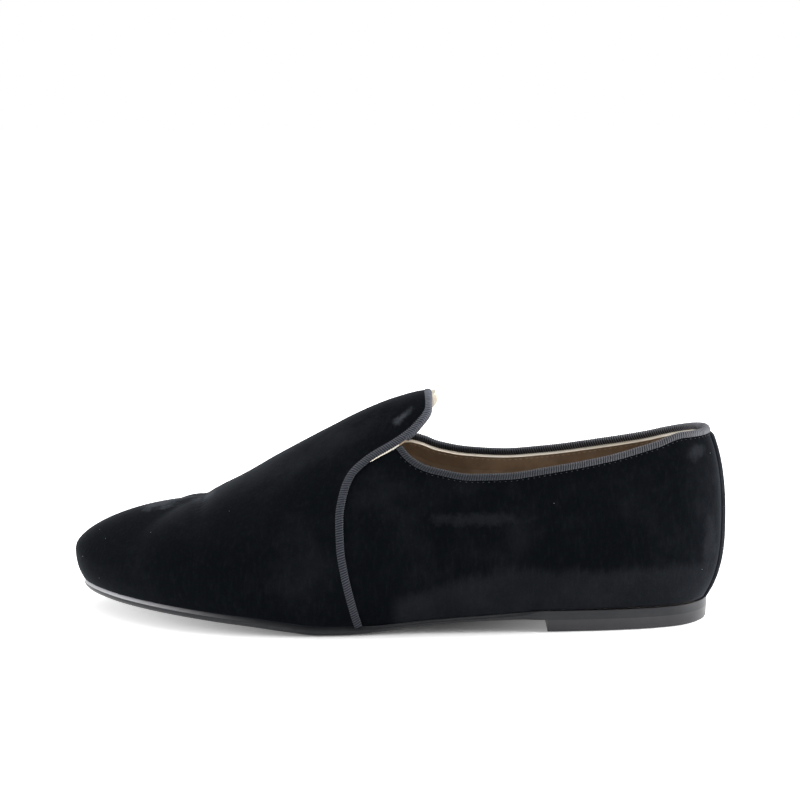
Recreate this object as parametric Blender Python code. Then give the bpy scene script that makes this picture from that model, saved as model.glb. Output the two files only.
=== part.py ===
"""Velvet slipper loafer: one left shoe, modelled as closed solids.

The last (the form a shoe is built on) is described by its sole outline and by
upright half sections that stand on a spine. Every piece is worked out from it.
Sizes are in millimetres here and go to Blender in metres. The toe points to -X,
the outer side of the shoe to -Y, and the shoe stands on z = 0.
"""

import math

import bpy
import numpy as np

MM = 0.001

# Driving sizes of the shoe.
LENGTH = 257.0          # toe to back of the finished shoe
BALL_WIDTH = 88.0       # widest part of the sole outline's table
BACK_HEIGHT = 74.6      # floor to top edge at the back of the heel
INSTEP_HEIGHT = 86.7    # floor to the end of the tongue
SOLE_THICK = 3.5
HEEL_BLOCK = 4.7        # heel piece under the sole
TOE_SPRING = 7.2        # rise of the sole's underside at the toe
WALL = 1.8              # velvet, padding and lining together
OVERLAP_STEP = 0.9      # the vamp lies this much proud of the quarters
GAP = 0.3               # between curved pieces
SEAT_GAP = 0.05         # between flat faces that lie on each other

# Small sizes.
SOLE_MARGIN = 0.9       # sole beyond the edge of the upper
SOLE_BEVEL = 1.5
SOLE_BEVEL_IN = 1.3
BEVEL_START = 0.262     # share of the sole where the bevel begins, at the heel's front
BEVEL_FULL = 0.300
HEEL_TAPER = 0.3
HEEL_BEVEL = 0.4
BREAST_GAP = 1.0         # heel block stops this far behind the start of the arch
RIBBON_THICK = 0.7
RIBBON_SLACK = 0.3      # extra room between the ribbon and the inside of the wall
VAMP_RIBBON = 2.5       # width of the ribbon seen from outside
TOPLINE_RIBBON = 1.8
RIBBON_INSIDE = 2.4     # leg of the ribbon inside the shoe
RIBBON_STOP = 1.6       # topline ribbon ends this far from the vamp ribbon
NOTCH_CLEAR = 3.2       # the vamp ribbon folds inside this far above the notch
STRIP_THICK = 0.8
STRIP_TOP = 13.0        # back strip's width under the ribbon
STRIP_FOOT = 21.0       # and at the sole
INSOLE_THICK = 2.4
INSOLE_GAP = 0.5        # from the wall of the upper
INSOLE_SEAT = 0.2       # above the curved face of the sole
TOE_SHIFT = 14.0        # toe lies this far to the inner side
SEAM_SIDE_STEP = 0.4    # run of the step where the vamp ends on the quarter
GRADE_FROM = 0.68 * BALL_WIDTH   # longer columns crowd their rows near the sole
GRADE_OVER = 1.36 * BALL_WIDTH

# Where the sole's edge begins and ends, as shares of the length.
FEATHER_BACK = 0.0333
FEATHER_TOE = 0.993

# Sole outline: half widths before rounding at the ends, as shares of the ball width.
OUTLINE = (
    # place,        share of length, outer, inner
    ("heel back",   0.000, 0.590, 0.590),
    ("heel curve",  0.034, 0.562, 0.560),
    ("heel side",   0.078, 0.502, 0.504),
    ("heel front",  0.143, 0.448, 0.435),
    ("rear waist",  0.223, 0.409, 0.362),
    ("waist",       0.324, 0.382, 0.316),
    ("front waist", 0.425, 0.376, 0.326),
    ("joint start", 0.525, 0.430, 0.366),
    ("outer ball",  0.618, 0.500, 0.424),
    ("inner ball",  0.707, 0.547, 0.466),
    ("toe joint",   0.787, 0.578, 0.482),
    ("toe side",    0.860, 0.590, 0.489),
    ("toe round",   0.924, 0.578, 0.493),
    ("toe front",   0.973, 0.530, 0.497),
    ("toe end",     1.000, 0.480, 0.500),
)

# Sole: height of its underside as shares of the heel block and of the toe spring, and its thickness.
UNDERSIDE = (
    # place,       share, heel, spring, share of the full thickness
    ("heel back",  0.000, 1.00, 0.00, 1.00),
    ("breast",     0.262, 1.00, 0.00, 1.00),
    ("shank",      0.303, 0.97, 0.00, 0.82),
    ("waist",      0.365, 0.88, 0.00, 0.64),
    ("arch",       0.427, 0.66, 0.00, 0.62),
    ("arch end",   0.488, 0.36, 0.00, 0.68),
    ("ball rear",  0.540, 0.08, 0.00, 0.86),
    ("ball",       0.570, 0.00, 0.00, 0.97),
    ("ball flat",  0.612, 0.00, 0.00, 1.00),
    ("ball front", 0.660, 0.00, 0.16, 1.00),
    ("toe joint",  0.720, 0.00, 0.38, 1.00),
    ("toe bend",   0.780, 0.00, 0.53, 1.00),
    ("toe side",   0.840, 0.00, 0.67, 1.00),
    ("toe round",  0.920, 0.00, 0.83, 1.00),
    ("toe end",    1.000, 0.00, 1.00, 1.00),
)

# Half sections: how the wall swells beyond the sole's edge and how square it is.
SECTIONS = (
    # place,       share, swell out, swell in, widest point above the edge, full out, full in
    ("heel back",  0.000, 6.6, 6.6, 28.0, 2.40, 2.40),
    ("heel side",  0.060, 4.0, 4.0, 25.0, 2.05, 2.05),
    ("heel front", 0.160, 2.2, 2.4, 20.0, 1.85, 1.85),
    ("waist",      0.320, 1.4, 3.2, 18.0, 1.95, 1.95),
    ("instep",     0.480, 1.6, 3.4, 17.0, 1.90, 1.90),
    ("ball",       0.620, 1.8, 2.0, 13.0, 1.80, 1.85),
    ("toe joint",  0.740, 2.2, 1.8, 11.0, 1.90, 2.00),
    ("toe box",    0.830, 2.8, 2.4, 11.2, 2.20, 2.30),
    ("toe round",  0.930, 3.0, 2.9, 10.6, 1.58, 1.62),
    ("toe end",    1.000, 3.5, 3.5, 12.3, 1.60, 1.60),
)

# Top line of the last along the spine, as shares of the back and instep heights.
RIDGE = (
    # place,       share of length, of the back height, of the instep height
    ("back",       0.000, 1.197, 0.000),
    ("opening",    0.300, 0.594, 0.510),
    ("tongue end", 0.455, 0.000, 1.015),
    ("tongue",     0.500, 0.000, 0.980),
    ("instep",     0.562, 0.000, 0.902),
    ("vamp top",   0.625, 0.000, 0.811),
    ("vamp",       0.688, 0.000, 0.710),
    ("vamp low",   0.750, 0.000, 0.600),
    ("hollow",     0.785, 0.000, 0.542),
    ("toe box",    0.815, 0.000, 0.482),
)

# Spine of the last: middle line that the sections stand on.
SPINE = (
    # place,      share of length, share of the toe shift
    ("heel",      0.117, 0.00),
    ("waist",     0.300, 0.06),
    ("instep",    0.500, 0.16),
    ("ball",      0.650, 0.34),
    ("toe box",   0.805, 0.60),
)

# Top edge of the quarters, as shares of the back height.
TOPLINE = (
    # place,      share along the sole, outer, inner
    ("back",      0.000, 0.998, 0.998),
    ("back side", 0.038, 0.988, 0.962),
    ("heel",      0.090, 0.951, 0.923),
    ("ankle",     0.158, 0.898, 0.885),
    ("low start", 0.258, 0.838, 0.836),
    ("low",       0.322, 0.808, 0.819),
    ("lowest",    0.376, 0.805, 0.824),
    ("front low", 0.425, 0.829, 0.853),
    ("rise",      0.458, 0.874, 0.900),
    ("notch",     0.488, 0.938, 0.952),
)

# Rear edge of the vamp, from the middle of the tongue down to the sole.
VAMP_EDGE = (
    # place,         share of length, angle round the section in degrees
    ("tongue end",   0.4578, 90.0),
    ("tongue top",   0.4568, 78.5),
    ("tongue side",  0.4718, 70.0),
    ("notch",        0.5030, 64.5),
    ("notch below",  0.5470, 59.8),
    ("bend",         0.5695, 54.8),
    ("upper side",   0.5805, 46.5),
    ("side",         0.5858, 35.0),
    ("middle",       0.5843, 21.0),
    ("lower side",   0.5785, 8.0),
    ("low",          0.5680, -8.0),
    ("sole",         0.5550, -25.0),
)
NOTCH_ROW = 3           # row of VAMP_EDGE where the quarter's top edge meets it

# Grid of the upper.
QUARTER_COLUMNS = 24
VAMP_COLUMNS = 52
UPPER_ROWS = 14
TRACE_STEPS = 90

RIBBON_STATIONS = 88
TOPLINE_STATIONS = 66
SOLE_STATIONS = 34


def column(table, index):
    """One column of a table as an array."""
    return np.array([row[index] for row in table], dtype=float)


def smooth_table(table, key, value, at):
    """Smooth value of a table's column at the given keys, without overshoot."""
    xs, ys = column(table, key), column(table, value)
    at = np.clip(np.asarray(at, dtype=float), xs[0], xs[-1])
    steps = np.diff(xs)
    slopes = np.diff(ys) / steps
    tangent = np.zeros_like(ys)
    for i in range(1, len(xs) - 1):
        if slopes[i - 1] * slopes[i] > 0:
            near, far = 2 * steps[i] + steps[i - 1], steps[i] + 2 * steps[i - 1]
            tangent[i] = (near + far) / (near / slopes[i - 1] + far / slopes[i])
    tangent[0], tangent[-1] = slopes[0], slopes[-1]
    i = np.clip(np.searchsorted(xs, at, side="right") - 1, 0, len(xs) - 2)
    t = (at - xs[i]) / steps[i]
    return ((1 + 2 * t) * (1 - t) ** 2 * ys[i] + t * (1 - t) ** 2 * steps[i] * tangent[i]
            + t * t * (3 - 2 * t) * ys[i + 1] + t * t * (t - 1) * steps[i] * tangent[i + 1])


def ease(t):
    """Smooth step from 0 to 1."""
    t = np.clip(t, 0.0, 1.0)
    return t * t * (3 - 2 * t)


class Last:
    """Surface that the upper is stretched over, in shoe coordinates.

    u runs from the back of the shoe to the toe, y to the inner side, z up.
    theta runs round the sole: 0 at the back of the heel, pi at the toe, with
    the outer side between them.
    """

    def __init__(self):
        self.back = FEATHER_BACK * LENGTH
        self.run = (FEATHER_TOE - FEATHER_BACK) * LENGTH
        self.heel_u = SPINE[0][1] * LENGTH
        self.toe_u = SPINE[-1][1] * LENGTH
        self.toe_fan = self.fan_table(self.toe_u, math.pi, 1.0)
        self.heel_fan = self.fan_table(self.heel_u, 0.0, -1.0)

    def underside(self, u):
        """Height of the sole's underside at u."""
        share = np.clip((u - self.back) / self.run, 0.0, 1.0)
        return (smooth_table(UNDERSIDE, 1, 2, share) * HEEL_BLOCK
                + smooth_table(UNDERSIDE, 1, 3, share) * TOE_SPRING)

    def sole_top(self, u):
        """Height of the sole's upper face at u."""
        share = np.clip((u - self.back) / self.run, 0.0, 1.0)
        return self.underside(u) + smooth_table(UNDERSIDE, 1, 4, share) * SOLE_THICK

    def loop(self, theta, margin=0.0):
        """Plan of the sole's edge at theta, grown by a margin: arrays u and y."""
        theta = np.asarray(theta, dtype=float)
        share = (1 - np.cos(theta)) / 2
        outer = smooth_table(OUTLINE, 1, 2, share)
        inner = smooth_table(OUTLINE, 1, 3, share)
        half = np.where(np.sin(theta) >= 0, outer, inner) * BALL_WIDTH
        u = self.back + share * self.run
        y = TOE_SHIFT * ease((share - 0.4) / 0.6) - np.sin(theta) * half
        if np.any(margin):
            step = 1e-3
            u0, y0 = self.loop(theta - step)
            u1, y1 = self.loop(theta + step)
            norm = np.hypot(u1 - u0, y1 - y0)
            u, y = u + margin * (y1 - y0) / norm, y - margin * (u1 - u0) / norm
        return u, y

    def spine(self, u):
        """Spine point below or above u: arrays u and y."""
        at = np.clip(u, self.heel_u, self.toe_u)
        return at, smooth_table(SPINE, 1, 2, at / LENGTH) * TOE_SHIFT

    def fan_table(self, pivot_u, middle, way):
        """Directions from a spine end to the sole's edge, against theta."""
        reach = math.acos(np.clip(way * (1 - 2 * (pivot_u - self.back) / self.run) * -1, -1, 1))
        theta = np.linspace(middle - reach, middle + reach, 241)
        u, y = self.loop(theta)
        pivot = self.spine(pivot_u)
        turn = np.arctan2(way * (y - pivot[1]), way * (u - pivot[0]))
        return np.unwrap(turn), theta

    def theta_of(self, u, y):
        """Theta of the half section that a plan point lies in."""
        at, mid = self.spine(u)
        share = np.clip((at - self.back) / self.run, 0.0, 1.0)
        straight = np.arccos(1 - 2 * share)
        straight = np.where(y - mid > 0, 2 * math.pi - straight, straight)
        toe = np.interp(np.arctan2(y - mid, u - at), self.toe_fan[0], self.toe_fan[1])
        turn = np.arctan2(mid - y, at - u)
        heel = np.interp(turn, self.heel_fan[0], self.heel_fan[1]) % (2 * math.pi)
        return np.where(u > self.toe_u, toe, np.where(u < self.heel_u, heel, straight))

    def section(self, theta):
        """Numbers of the half sections at theta."""
        theta = np.asarray(theta, dtype=float)
        share = (1 - np.cos(theta)) / 2
        outer = np.sin(theta) >= 0
        u, y = self.loop(theta)
        at, mid = self.spine(u)
        reach = np.hypot(u - at, y - mid)
        swell = np.where(outer, smooth_table(SECTIONS, 1, 2, share), smooth_table(SECTIONS, 1, 3, share))
        full = np.where(outer, smooth_table(SECTIONS, 1, 5, share), smooth_table(SECTIONS, 1, 6, share))
        edge_z = self.sole_top(u) + GAP
        widest_z = edge_z + smooth_table(SECTIONS, 1, 4, share)
        ridge_z = smooth_table(RIDGE, 1, 2, at / LENGTH) * BACK_HEIGHT
        ridge_z = ridge_z + smooth_table(RIDGE, 1, 3, at / LENGTH) * INSTEP_HEIGHT
        return {
            "at": at, "mid": mid, "way": ((u - at) / reach, (y - mid) / reach),
            "edge": reach, "edge_z": edge_z, "widest": reach + swell,
            "widest_z": widest_z, "rise": ridge_z - widest_z, "full": full,
        }

    def radius(self, cut, angle):
        """Distance from the section's centre to the surface at an angle above level."""
        c, s = np.cos(angle), np.sin(angle)
        full = cut["full"]
        above = (np.abs(c / cut["widest"]) ** full + np.abs(s / cut["rise"]) ** full) ** (-1 / full)
        square = 2.4
        drop = cut["widest_z"] - cut["edge_z"]
        foot = drop / (1 - (cut["edge"] / cut["widest"]) ** square) ** (1 / square)
        below = (np.abs(c / cut["widest"]) ** square + np.abs(s / foot) ** square) ** (-1 / square)
        return np.where(s >= 0, above, below)

    def place(self, cut, angle):
        """Point of the surface in given sections at given angles."""
        radius = self.radius(cut, angle)
        out = radius * np.cos(angle)
        return np.stack([cut["at"] + cut["way"][0] * out, cut["mid"] + cut["way"][1] * out,
                         cut["widest_z"] + radius * np.sin(angle)], axis=-1)

    def project(self, points):
        """Nearest place on the surface, seen from the spine."""
        u, y, z = points[..., 0], points[..., 1], points[..., 2]
        cut = self.section(self.theta_of(u, y))
        out = np.hypot(u - cut["at"], y - cut["mid"])
        return self.place(cut, np.arctan2(z - cut["widest_z"], out))

    def shell(self, points):
        """How far out the points lie: 1 on the surface."""
        u, y, z = points[..., 0], points[..., 1], points[..., 2]
        cut = self.section(self.theta_of(u, y))
        out = np.hypot(u - cut["at"], y - cut["mid"])
        up = z - cut["widest_z"]
        return np.hypot(out, up) / self.radius(cut, np.arctan2(up, out))

    def normal(self, points):
        """Outward unit normals of the surface at points on it."""
        step = 0.6
        parts = []
        for axis in range(3):
            shift = np.zeros(3)
            shift[axis] = step
            parts.append(self.shell(points + shift) - self.shell(points - shift))
        normal = np.stack(parts, axis=-1)
        return normal / np.linalg.norm(normal, axis=-1, keepdims=True)

    def wall_point(self, theta, height):
        """Point of the surface at theta and at a height above the floor."""
        cut = self.section(theta)
        up = height - cut["widest_z"]
        share = np.clip(up / cut["rise"], 0.0, 1.0)
        out = cut["widest"] * (1 - share ** cut["full"]) ** (1 / cut["full"])
        return np.stack([cut["at"] + cut["way"][0] * out, cut["mid"] + cut["way"][1] * out,
                         np.broadcast_to(height, out.shape)], axis=-1)

    def offset(self, points, lift):
        """Points moved off the surface along its normal."""
        lift = np.asarray(lift, dtype=float)
        return points + self.normal(points) * (lift[..., None] if lift.ndim else lift)


def travelled(path):
    """Length along a path at each of its points."""
    return np.concatenate([[0.0], np.cumsum(np.linalg.norm(np.diff(path, axis=0), axis=1))])


def resample(path, count, grade=1.0):
    """Points at even (or graded) steps along a path."""
    lengths = travelled(path)
    at = np.linspace(0.0, 1.0, count) ** grade * lengths[-1]
    return np.stack([np.interp(at, lengths, path[:, k]) for k in range(3)], axis=1)


def mirror_theta(theta):
    """Theta of the same station on the other side."""
    return 2 * math.pi - theta


def vamp_edge(last, side, first=0, count=160):
    """Rear edge of the vamp on one side, from a row of its table down to the sole."""
    keys = np.arange(len(VAMP_EDGE), dtype=float)
    table = tuple((key,) + row[1:] for key, row in zip(keys, VAMP_EDGE))
    at = np.linspace(first, len(VAMP_EDGE) - 1, count)
    u = smooth_table(table, 0, 1, at) * LENGTH
    angle = np.radians(smooth_table(table, 0, 2, at))
    share = (u - last.back) / last.run
    theta = np.arccos(1 - 2 * share)
    cut = last.section(theta if side == "outer" else mirror_theta(theta))
    edge = last.place(cut, angle)
    foot = np.argmax(edge[:, 2] < cut["edge_z"] + 1e-6) if edge[-1, 2] < cut["edge_z"][-1] else len(edge)
    return edge[:max(foot, 2)]


def seam_foot(last, side):
    """Theta where the vamp's rear edge reaches the sole."""
    end = vamp_edge(last, side)[-1]
    return float(last.theta_of(end[0], end[1]))


def topline(last, side, count=120):
    """Top edge of the quarter on one side, from the back to the vamp's notch."""
    share = np.linspace(0.0, TOPLINE[-1][1], count)
    share = TOPLINE[-1][1] * (share / TOPLINE[-1][1]) ** 1.5
    theta = np.arccos(1 - 2 * share)
    height = smooth_table(TOPLINE, 1, 2 if side == "outer" else 3, share) * BACK_HEIGHT
    edge = last.wall_point(theta if side == "outer" else mirror_theta(theta), height)
    notch = vamp_edge(last, side, NOTCH_ROW)[0]
    pull = ease((share / TOPLINE[-1][1] - 0.8) / 0.2)[:, None]
    edge = edge + pull * (notch - edge[-1])
    return last.project(edge)


def patch(bottom, top, left, right):
    """Transfinite patch between four curves; rows run from bottom to top."""
    rows, columns = len(left), len(bottom)
    v = np.linspace(0, 1, rows)[:, None, None]
    h = np.linspace(0, 1, columns)[None, :, None]
    corners = ((1 - h) * (1 - v) * bottom[0] + h * (1 - v) * bottom[-1]
               + (1 - h) * v * top[0] + h * v * top[-1])
    return ((1 - v) * bottom[None] + v * top[None]
            + (1 - h) * left[:, None] + h * right[:, None] - corners)


def drape(last, grid, rows):
    """Patch laid on the last, with even rows along each column."""
    laid = last.project(grid)
    columns = []
    for k in range(laid.shape[1]):
        run = float(np.sum(np.linalg.norm(np.diff(laid[:, k], axis=0), axis=1)))
        grade = 1.0 + 0.5 * float(ease((run - GRADE_FROM) / GRADE_OVER))
        columns.append(resample(laid[:, k], rows + 1, grade))
    return last.project(np.stack(columns, axis=1))


def sole_edge(last, start, end, count):
    """Upper's lower edge between two thetas, at even steps."""
    theta = np.linspace(start, end, 6 * count)
    u, y = last.loop(theta)
    return resample(np.stack([u, y, last.sole_top(u) + GAP], axis=1), count)


def quarter_grid(last, side, columns=QUARTER_COLUMNS, rows=UPPER_ROWS):
    """Grid of one quarter from the back of the heel to the vamp's edge."""
    foot = seam_foot(last, side)
    start = 0.0 if side == "outer" else 2 * math.pi
    bottom = sole_edge(last, start, foot, columns + 1)
    top = resample(topline(last, side), columns + 1)
    height = np.linspace(bottom[0, 2], top[0, 2], TRACE_STEPS)
    low = bottom[0] + np.zeros((TRACE_STEPS, 3))
    low[:, 2] = height
    low[:, 0] -= 1.0
    back = resample(last.project(low), TRACE_STEPS)
    seam = resample(vamp_edge(last, side, NOTCH_ROW)[::-1], TRACE_STEPS)
    return drape(last, patch(bottom, top, back, seam), rows)


def vamp_grid(last, columns=VAMP_COLUMNS, rows=UPPER_ROWS):
    """Grid of the vamp from the outer seam round the toe to the inner seam."""
    bottom = sole_edge(last, seam_foot(last, "outer"), seam_foot(last, "inner"), columns + 1)
    outer, inner = vamp_edge(last, "outer"), vamp_edge(last, "inner")
    count = int(np.argmin(np.linalg.norm(outer - vamp_edge(last, "outer", NOTCH_ROW)[0], axis=1)))
    tongue = np.concatenate([outer[:count + 1][::-1], inner[1:count + 1]])
    top = resample(tongue, columns + 1)
    left = resample(vamp_edge(last, "outer", NOTCH_ROW)[::-1], TRACE_STEPS)
    right = resample(vamp_edge(last, "inner", NOTCH_ROW)[::-1], TRACE_STEPS)
    top[0], top[-1] = left[-1], right[-1]
    return drape(last, patch(bottom, top, left, right), rows)


def upper_solid(last):
    """The whole upper as one hollow wall, open at the collar and underneath."""
    outer = quarter_grid(last, "outer")
    vamp = vamp_grid(last)
    inner = quarter_grid(last, "inner")[:, ::-1]
    grids, lifts = [], []
    for grid, lift, drop_first, drop_last in ((outer, 0.0, False, False), (vamp, OVERLAP_STEP, False, False),
                                              (inner, 0.0, False, True)):
        part = grid[:, int(drop_first):grid.shape[1] - int(drop_last)]
        grids.append(part)
        lifts.append(np.full(part.shape[1], lift))
    grid = np.concatenate(grids, axis=1)
    lift = np.concatenate(lifts)
    seam_columns = (outer.shape[1] - 1, outer.shape[1] + vamp.shape[1])
    for seam, way in zip(seam_columns, (-1, 1)):
        along = grid[:, seam + way] - grid[:, seam]
        length = np.linalg.norm(along, axis=1, keepdims=True)
        grid[:, seam] = last.project(grid[:, seam] + along / length * SEAM_SIDE_STEP)
    normal = last.normal(grid)
    out = grid + normal * lift[None, :, None]
    inside = grid - normal * WALL
    level = normal[0].copy()
    level[:, 2] = 0.0
    level /= np.linalg.norm(level, axis=1, keepdims=True)
    out[0] = grid[0] + level * lift[:, None]
    inside[0] = grid[0] - level * WALL
    inside[0, :, 2] = out[0, :, 2] = grid[0, :, 2]
    rows, columns = grid.shape[:2]
    verts = np.concatenate([out.reshape(-1, 3), inside.reshape(-1, 3)])
    faces = []
    shift = rows * columns
    for k in range(columns):
        n = (k + 1) % columns
        for j in range(rows - 1):
            a, b, c, d = j * columns + k, j * columns + n, (j + 1) * columns + n, (j + 1) * columns + k
            faces.append((a, b, c, d))
            faces.append((a + shift, d + shift, c + shift, b + shift))
        top = (rows - 1) * columns
        faces.append((k, k + shift, n + shift, n))
        faces.append((top + k, top + n, top + n + shift, top + k + shift))
    return verts, faces


def tube(rings, closed=False):
    """Solid swept through rings of equal size, with flat ends unless closed."""
    count, size = rings.shape[:2]
    verts = rings.reshape(-1, 3)
    faces = []
    for i in range(count if closed else count - 1):
        n = (i + 1) % count
        for j in range(size):
            m = (j + 1) % size
            faces.append((i * size + j, i * size + m, n * size + m, n * size + j))
    if not closed:
        faces.append(tuple(range(size))[::-1])
        faces.append(tuple((count - 1) * size + j for j in range(size)))
    return verts, faces


def ribbon_rings(last, path, width, base, low, leg, toward):
    """Rings of a ribbon folded over an edge of the upper.

    Args:
        path: edge on the last's surface.
        width: leg outside.
        base: how far the outer face of the upper lies above the last, per station.
        low: lowest lift of the fold, per station.
        leg: length of the leg inside, per station.
        toward: rough direction from the edge to the piece that the ribbon binds.
    """
    along = np.gradient(path, axis=0)
    along /= np.linalg.norm(along, axis=1, keepdims=True)
    normal = last.normal(path)
    inward = np.cross(normal, along)
    inward /= np.linalg.norm(inward, axis=1, keepdims=True)
    if np.sum(inward @ np.array(toward)) < 0:
        inward = -inward
    top, skin = base + GAP + RIBBON_THICK, base + GAP
    fold = np.full(len(path), -GAP - RIBBON_THICK)
    ones = np.ones(len(path))
    corners = (
        (width * ones, skin), (width * ones, top), (width * 0.5 * ones, top + 0.08),
        (-GAP * ones, top), (fold, (top + low) / 2 + (top - low) * 0.25),
        (fold, (top + low) / 2 - (top - low) * 0.25), (-GAP * ones, low),
        (leg, low), (leg, low + RIBBON_THICK), (-GAP * ones, low + RIBBON_THICK + 0.05),
        (-GAP * ones, skin),
    )
    rings = []
    for across, lift in corners:
        foot = last.project(path + inward * across[:, None])
        rings.append(last.offset(foot, lift))
    return np.stack(rings, axis=1)


def vamp_binding_solid(last):
    """Ribbon round the tongue and down the vamp's rear edge to the sole."""
    outer, inner = vamp_edge(last, "outer"), vamp_edge(last, "inner")
    path = resample(np.concatenate([outer[::-1], inner[1:]]), 4 * RIBBON_STATIONS)
    start = last.sole_top(path[:, 0]) + 2 * GAP
    keep = path[:, 2] > start
    path = last.project(resample(path[keep], RIBBON_STATIONS))
    gone = travelled(path)
    marks = [gone[np.argmin(np.linalg.norm(path - vamp_edge(last, side, NOTCH_ROW)[0], axis=1))]
             for side in ("outer", "inner")]
    above = np.minimum(gone - marks[0], marks[1] - gone)
    free = ease((above - NOTCH_CLEAR) / (0.5 * NOTCH_CLEAR))
    folded = ease((above - 1.8 * NOTCH_CLEAR) / (0.7 * NOTCH_CLEAR))
    base = np.full(len(path), OVERLAP_STEP)
    on_quarter = GAP
    under_wall = -WALL - GAP - RIBBON_SLACK - RIBBON_THICK
    low = on_quarter + (under_wall - on_quarter) * free
    leg = -GAP - 0.25 + (RIBBON_INSIDE + GAP + 0.25) * folded
    rings = ribbon_rings(last, path, VAMP_RIBBON, base, low, leg, (1.0, 0.0, 0.0))
    seated = 1 - free
    pinch = seated[:, None] * 0.45 * RIBBON_THICK
    rings[:, 8] -= last.normal(rings[:, 8]) * pinch
    rings[:, 9] -= last.normal(rings[:, 9]) * pinch * 0.8
    return tube(rings)


def topline_binding_solid(last):
    """Ribbon round the top edge of the quarters."""
    outer, inner = topline(last, "outer"), topline(last, "inner")
    path = resample(np.concatenate([outer[::-1], inner[1:]]), 6 * TOPLINE_STATIONS)
    gone = travelled(path)
    stop = RIBBON_STOP + GAP + RIBBON_THICK + SEAM_SIDE_STEP
    path = path[(gone > stop) & (gone < gone[-1] - stop)]
    path = last.project(resample(path, TOPLINE_STATIONS))
    ones = np.ones(len(path))
    rings = ribbon_rings(last, path, TOPLINE_RIBBON, ones * 0.0,
                         ones * (-WALL - GAP - RIBBON_THICK), ones * RIBBON_INSIDE, (0.0, 0.0, -1.0))
    return tube(rings)


def back_strip_solid(last, columns=8, rows=14):
    """Velvet strip over the seam at the back of the heel."""
    cut = last.section(np.array([0.0]))
    low = float(cut["edge_z"][0]) + 2 * GAP
    high = BACK_HEIGHT - TOPLINE_RIBBON - 2 * GAP
    faces_out, faces_in = [], []
    for j in range(rows + 1):
        t = j / rows
        width = STRIP_FOOT + (STRIP_TOP - STRIP_FOOT) * t
        height = low + (high - low) * t
        radius = float(cut["widest"][0])
        turn = np.linspace(-0.5, 0.5, columns + 1) * width / radius
        theta = np.interp(turn, last.heel_fan[0], last.heel_fan[1])
        line = last.section(theta)
        angle = np.arctan2(height - line["widest_z"], line["widest"])
        for _ in range(12):
            point = last.place(line, angle)
            angle = angle + (height - point[:, 2]) / line["widest"]
        point = last.place(line, angle)
        edge = np.minimum(np.arange(columns + 1), np.arange(columns, -1, -1))
        thick = STRIP_THICK * np.where(edge == 0, 0.55, 1.0)
        faces_in.append(last.offset(point, GAP))
        faces_out.append(last.offset(point, GAP + thick))
    inner, outer = np.array(faces_in), np.array(faces_out)
    ring = np.concatenate([outer, inner[:, ::-1]], axis=1)
    return tube(ring)


def plate(last, margin, bottom, top, steps, stations=SOLE_STATIONS, end_u=None):
    """Flat-faced solid that follows the sole's outline.

    Args:
        margin: how far the outline lies outside the upper's edge.
        bottom: height of the underside as a function of u.
        top: height of the upper face as a function of u.
        steps: rows of (share of the height, inset at the heel, inset in front).
        end_u: where a square front cuts the outline, or None for the whole sole.
    """
    if end_u is None:
        end = math.pi
    else:
        end = math.acos(1 - 2 * (end_u - last.back) / last.run)
    half = np.linspace(0.0, end, stations + 1)
    theta = np.concatenate([half, mirror_theta(half[::-1])[(1 if end_u is None else 0):-1]])
    front = ease(((1 - np.cos(theta)) / 2 - BEVEL_START) / (BEVEL_FULL - BEVEL_START))
    rings = []
    for share, inset_heel, inset_front in steps:
        inset = inset_heel + (inset_front - inset_heel) * front
        u, y = last.loop(theta, margin - inset)
        if end_u is not None:
            u = np.minimum(u, end_u - inset * 0.3)
        z = bottom(u) + (top(u) - bottom(u)) * share
        rings.append(np.stack([u, y, z], axis=1))
    size = len(theta)
    verts = np.concatenate(rings)
    faces = []
    for level in range(len(rings) - 1):
        for k in range(size):
            n = (k + 1) % size
            a, b = level * size + k, level * size + n
            faces.append((a, b, b + size, a + size))
    lift = (len(rings) - 1) * size
    pairs = [(k, (size - k) % size) for k in range((size + 2) // 2 if end_u is None else size // 2 + 1)]
    for (a, b), (c, d) in zip(pairs[:-1], pairs[1:]):
        for shift, flip in ((0, True), (lift, False)):
            quad = [a + shift, c + shift, d + shift, b + shift]
            quad = list(dict.fromkeys(quad))
            faces.append(tuple(quad if not flip else quad[::-1]))
    return verts, faces


def outsole_solid(last):
    """Thin sole with a lower edge that is bevelled in front of the heel."""
    bevel = SOLE_BEVEL / SOLE_THICK
    steps = ((0.0, 0.0, SOLE_BEVEL_IN), (bevel, 0.0, 0.0), (0.86, 0.0, 0.0), (1.0, 0.35, 0.35))
    return plate(last, SOLE_MARGIN, last.underside, last.sole_top, steps, 44)


def heel_solid(last):
    """Heel block with tapering sides and a square front."""
    breast = UNDERSIDE[1][1] * last.run + last.back - BREAST_GAP
    top = HEEL_BLOCK - SEAT_GAP
    foot = HEEL_TAPER + HEEL_BEVEL
    steps = ((0.0, foot, foot), (HEEL_BEVEL / top, HEEL_TAPER, HEEL_TAPER), (1.0, 0.0, 0.0))
    return plate(last, SOLE_MARGIN, lambda u: 0.0 * u, lambda u: 0.0 * u + top, steps, 22, breast)


def insole_solid(last):
    """Padded sock on the sole, just inside the upper."""
    inset = -(WALL + INSOLE_GAP)
    steps = ((0.0, 0.3, 0.3), (0.3, 0.0, 0.0), (0.75, 0.0, 0.0), (1.0, 0.6, 0.6))
    return plate(last, inset, lambda u: last.sole_top(u) + INSOLE_SEAT,
                 lambda u: last.sole_top(u) + INSOLE_SEAT + INSOLE_THICK, steps, 44)


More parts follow.
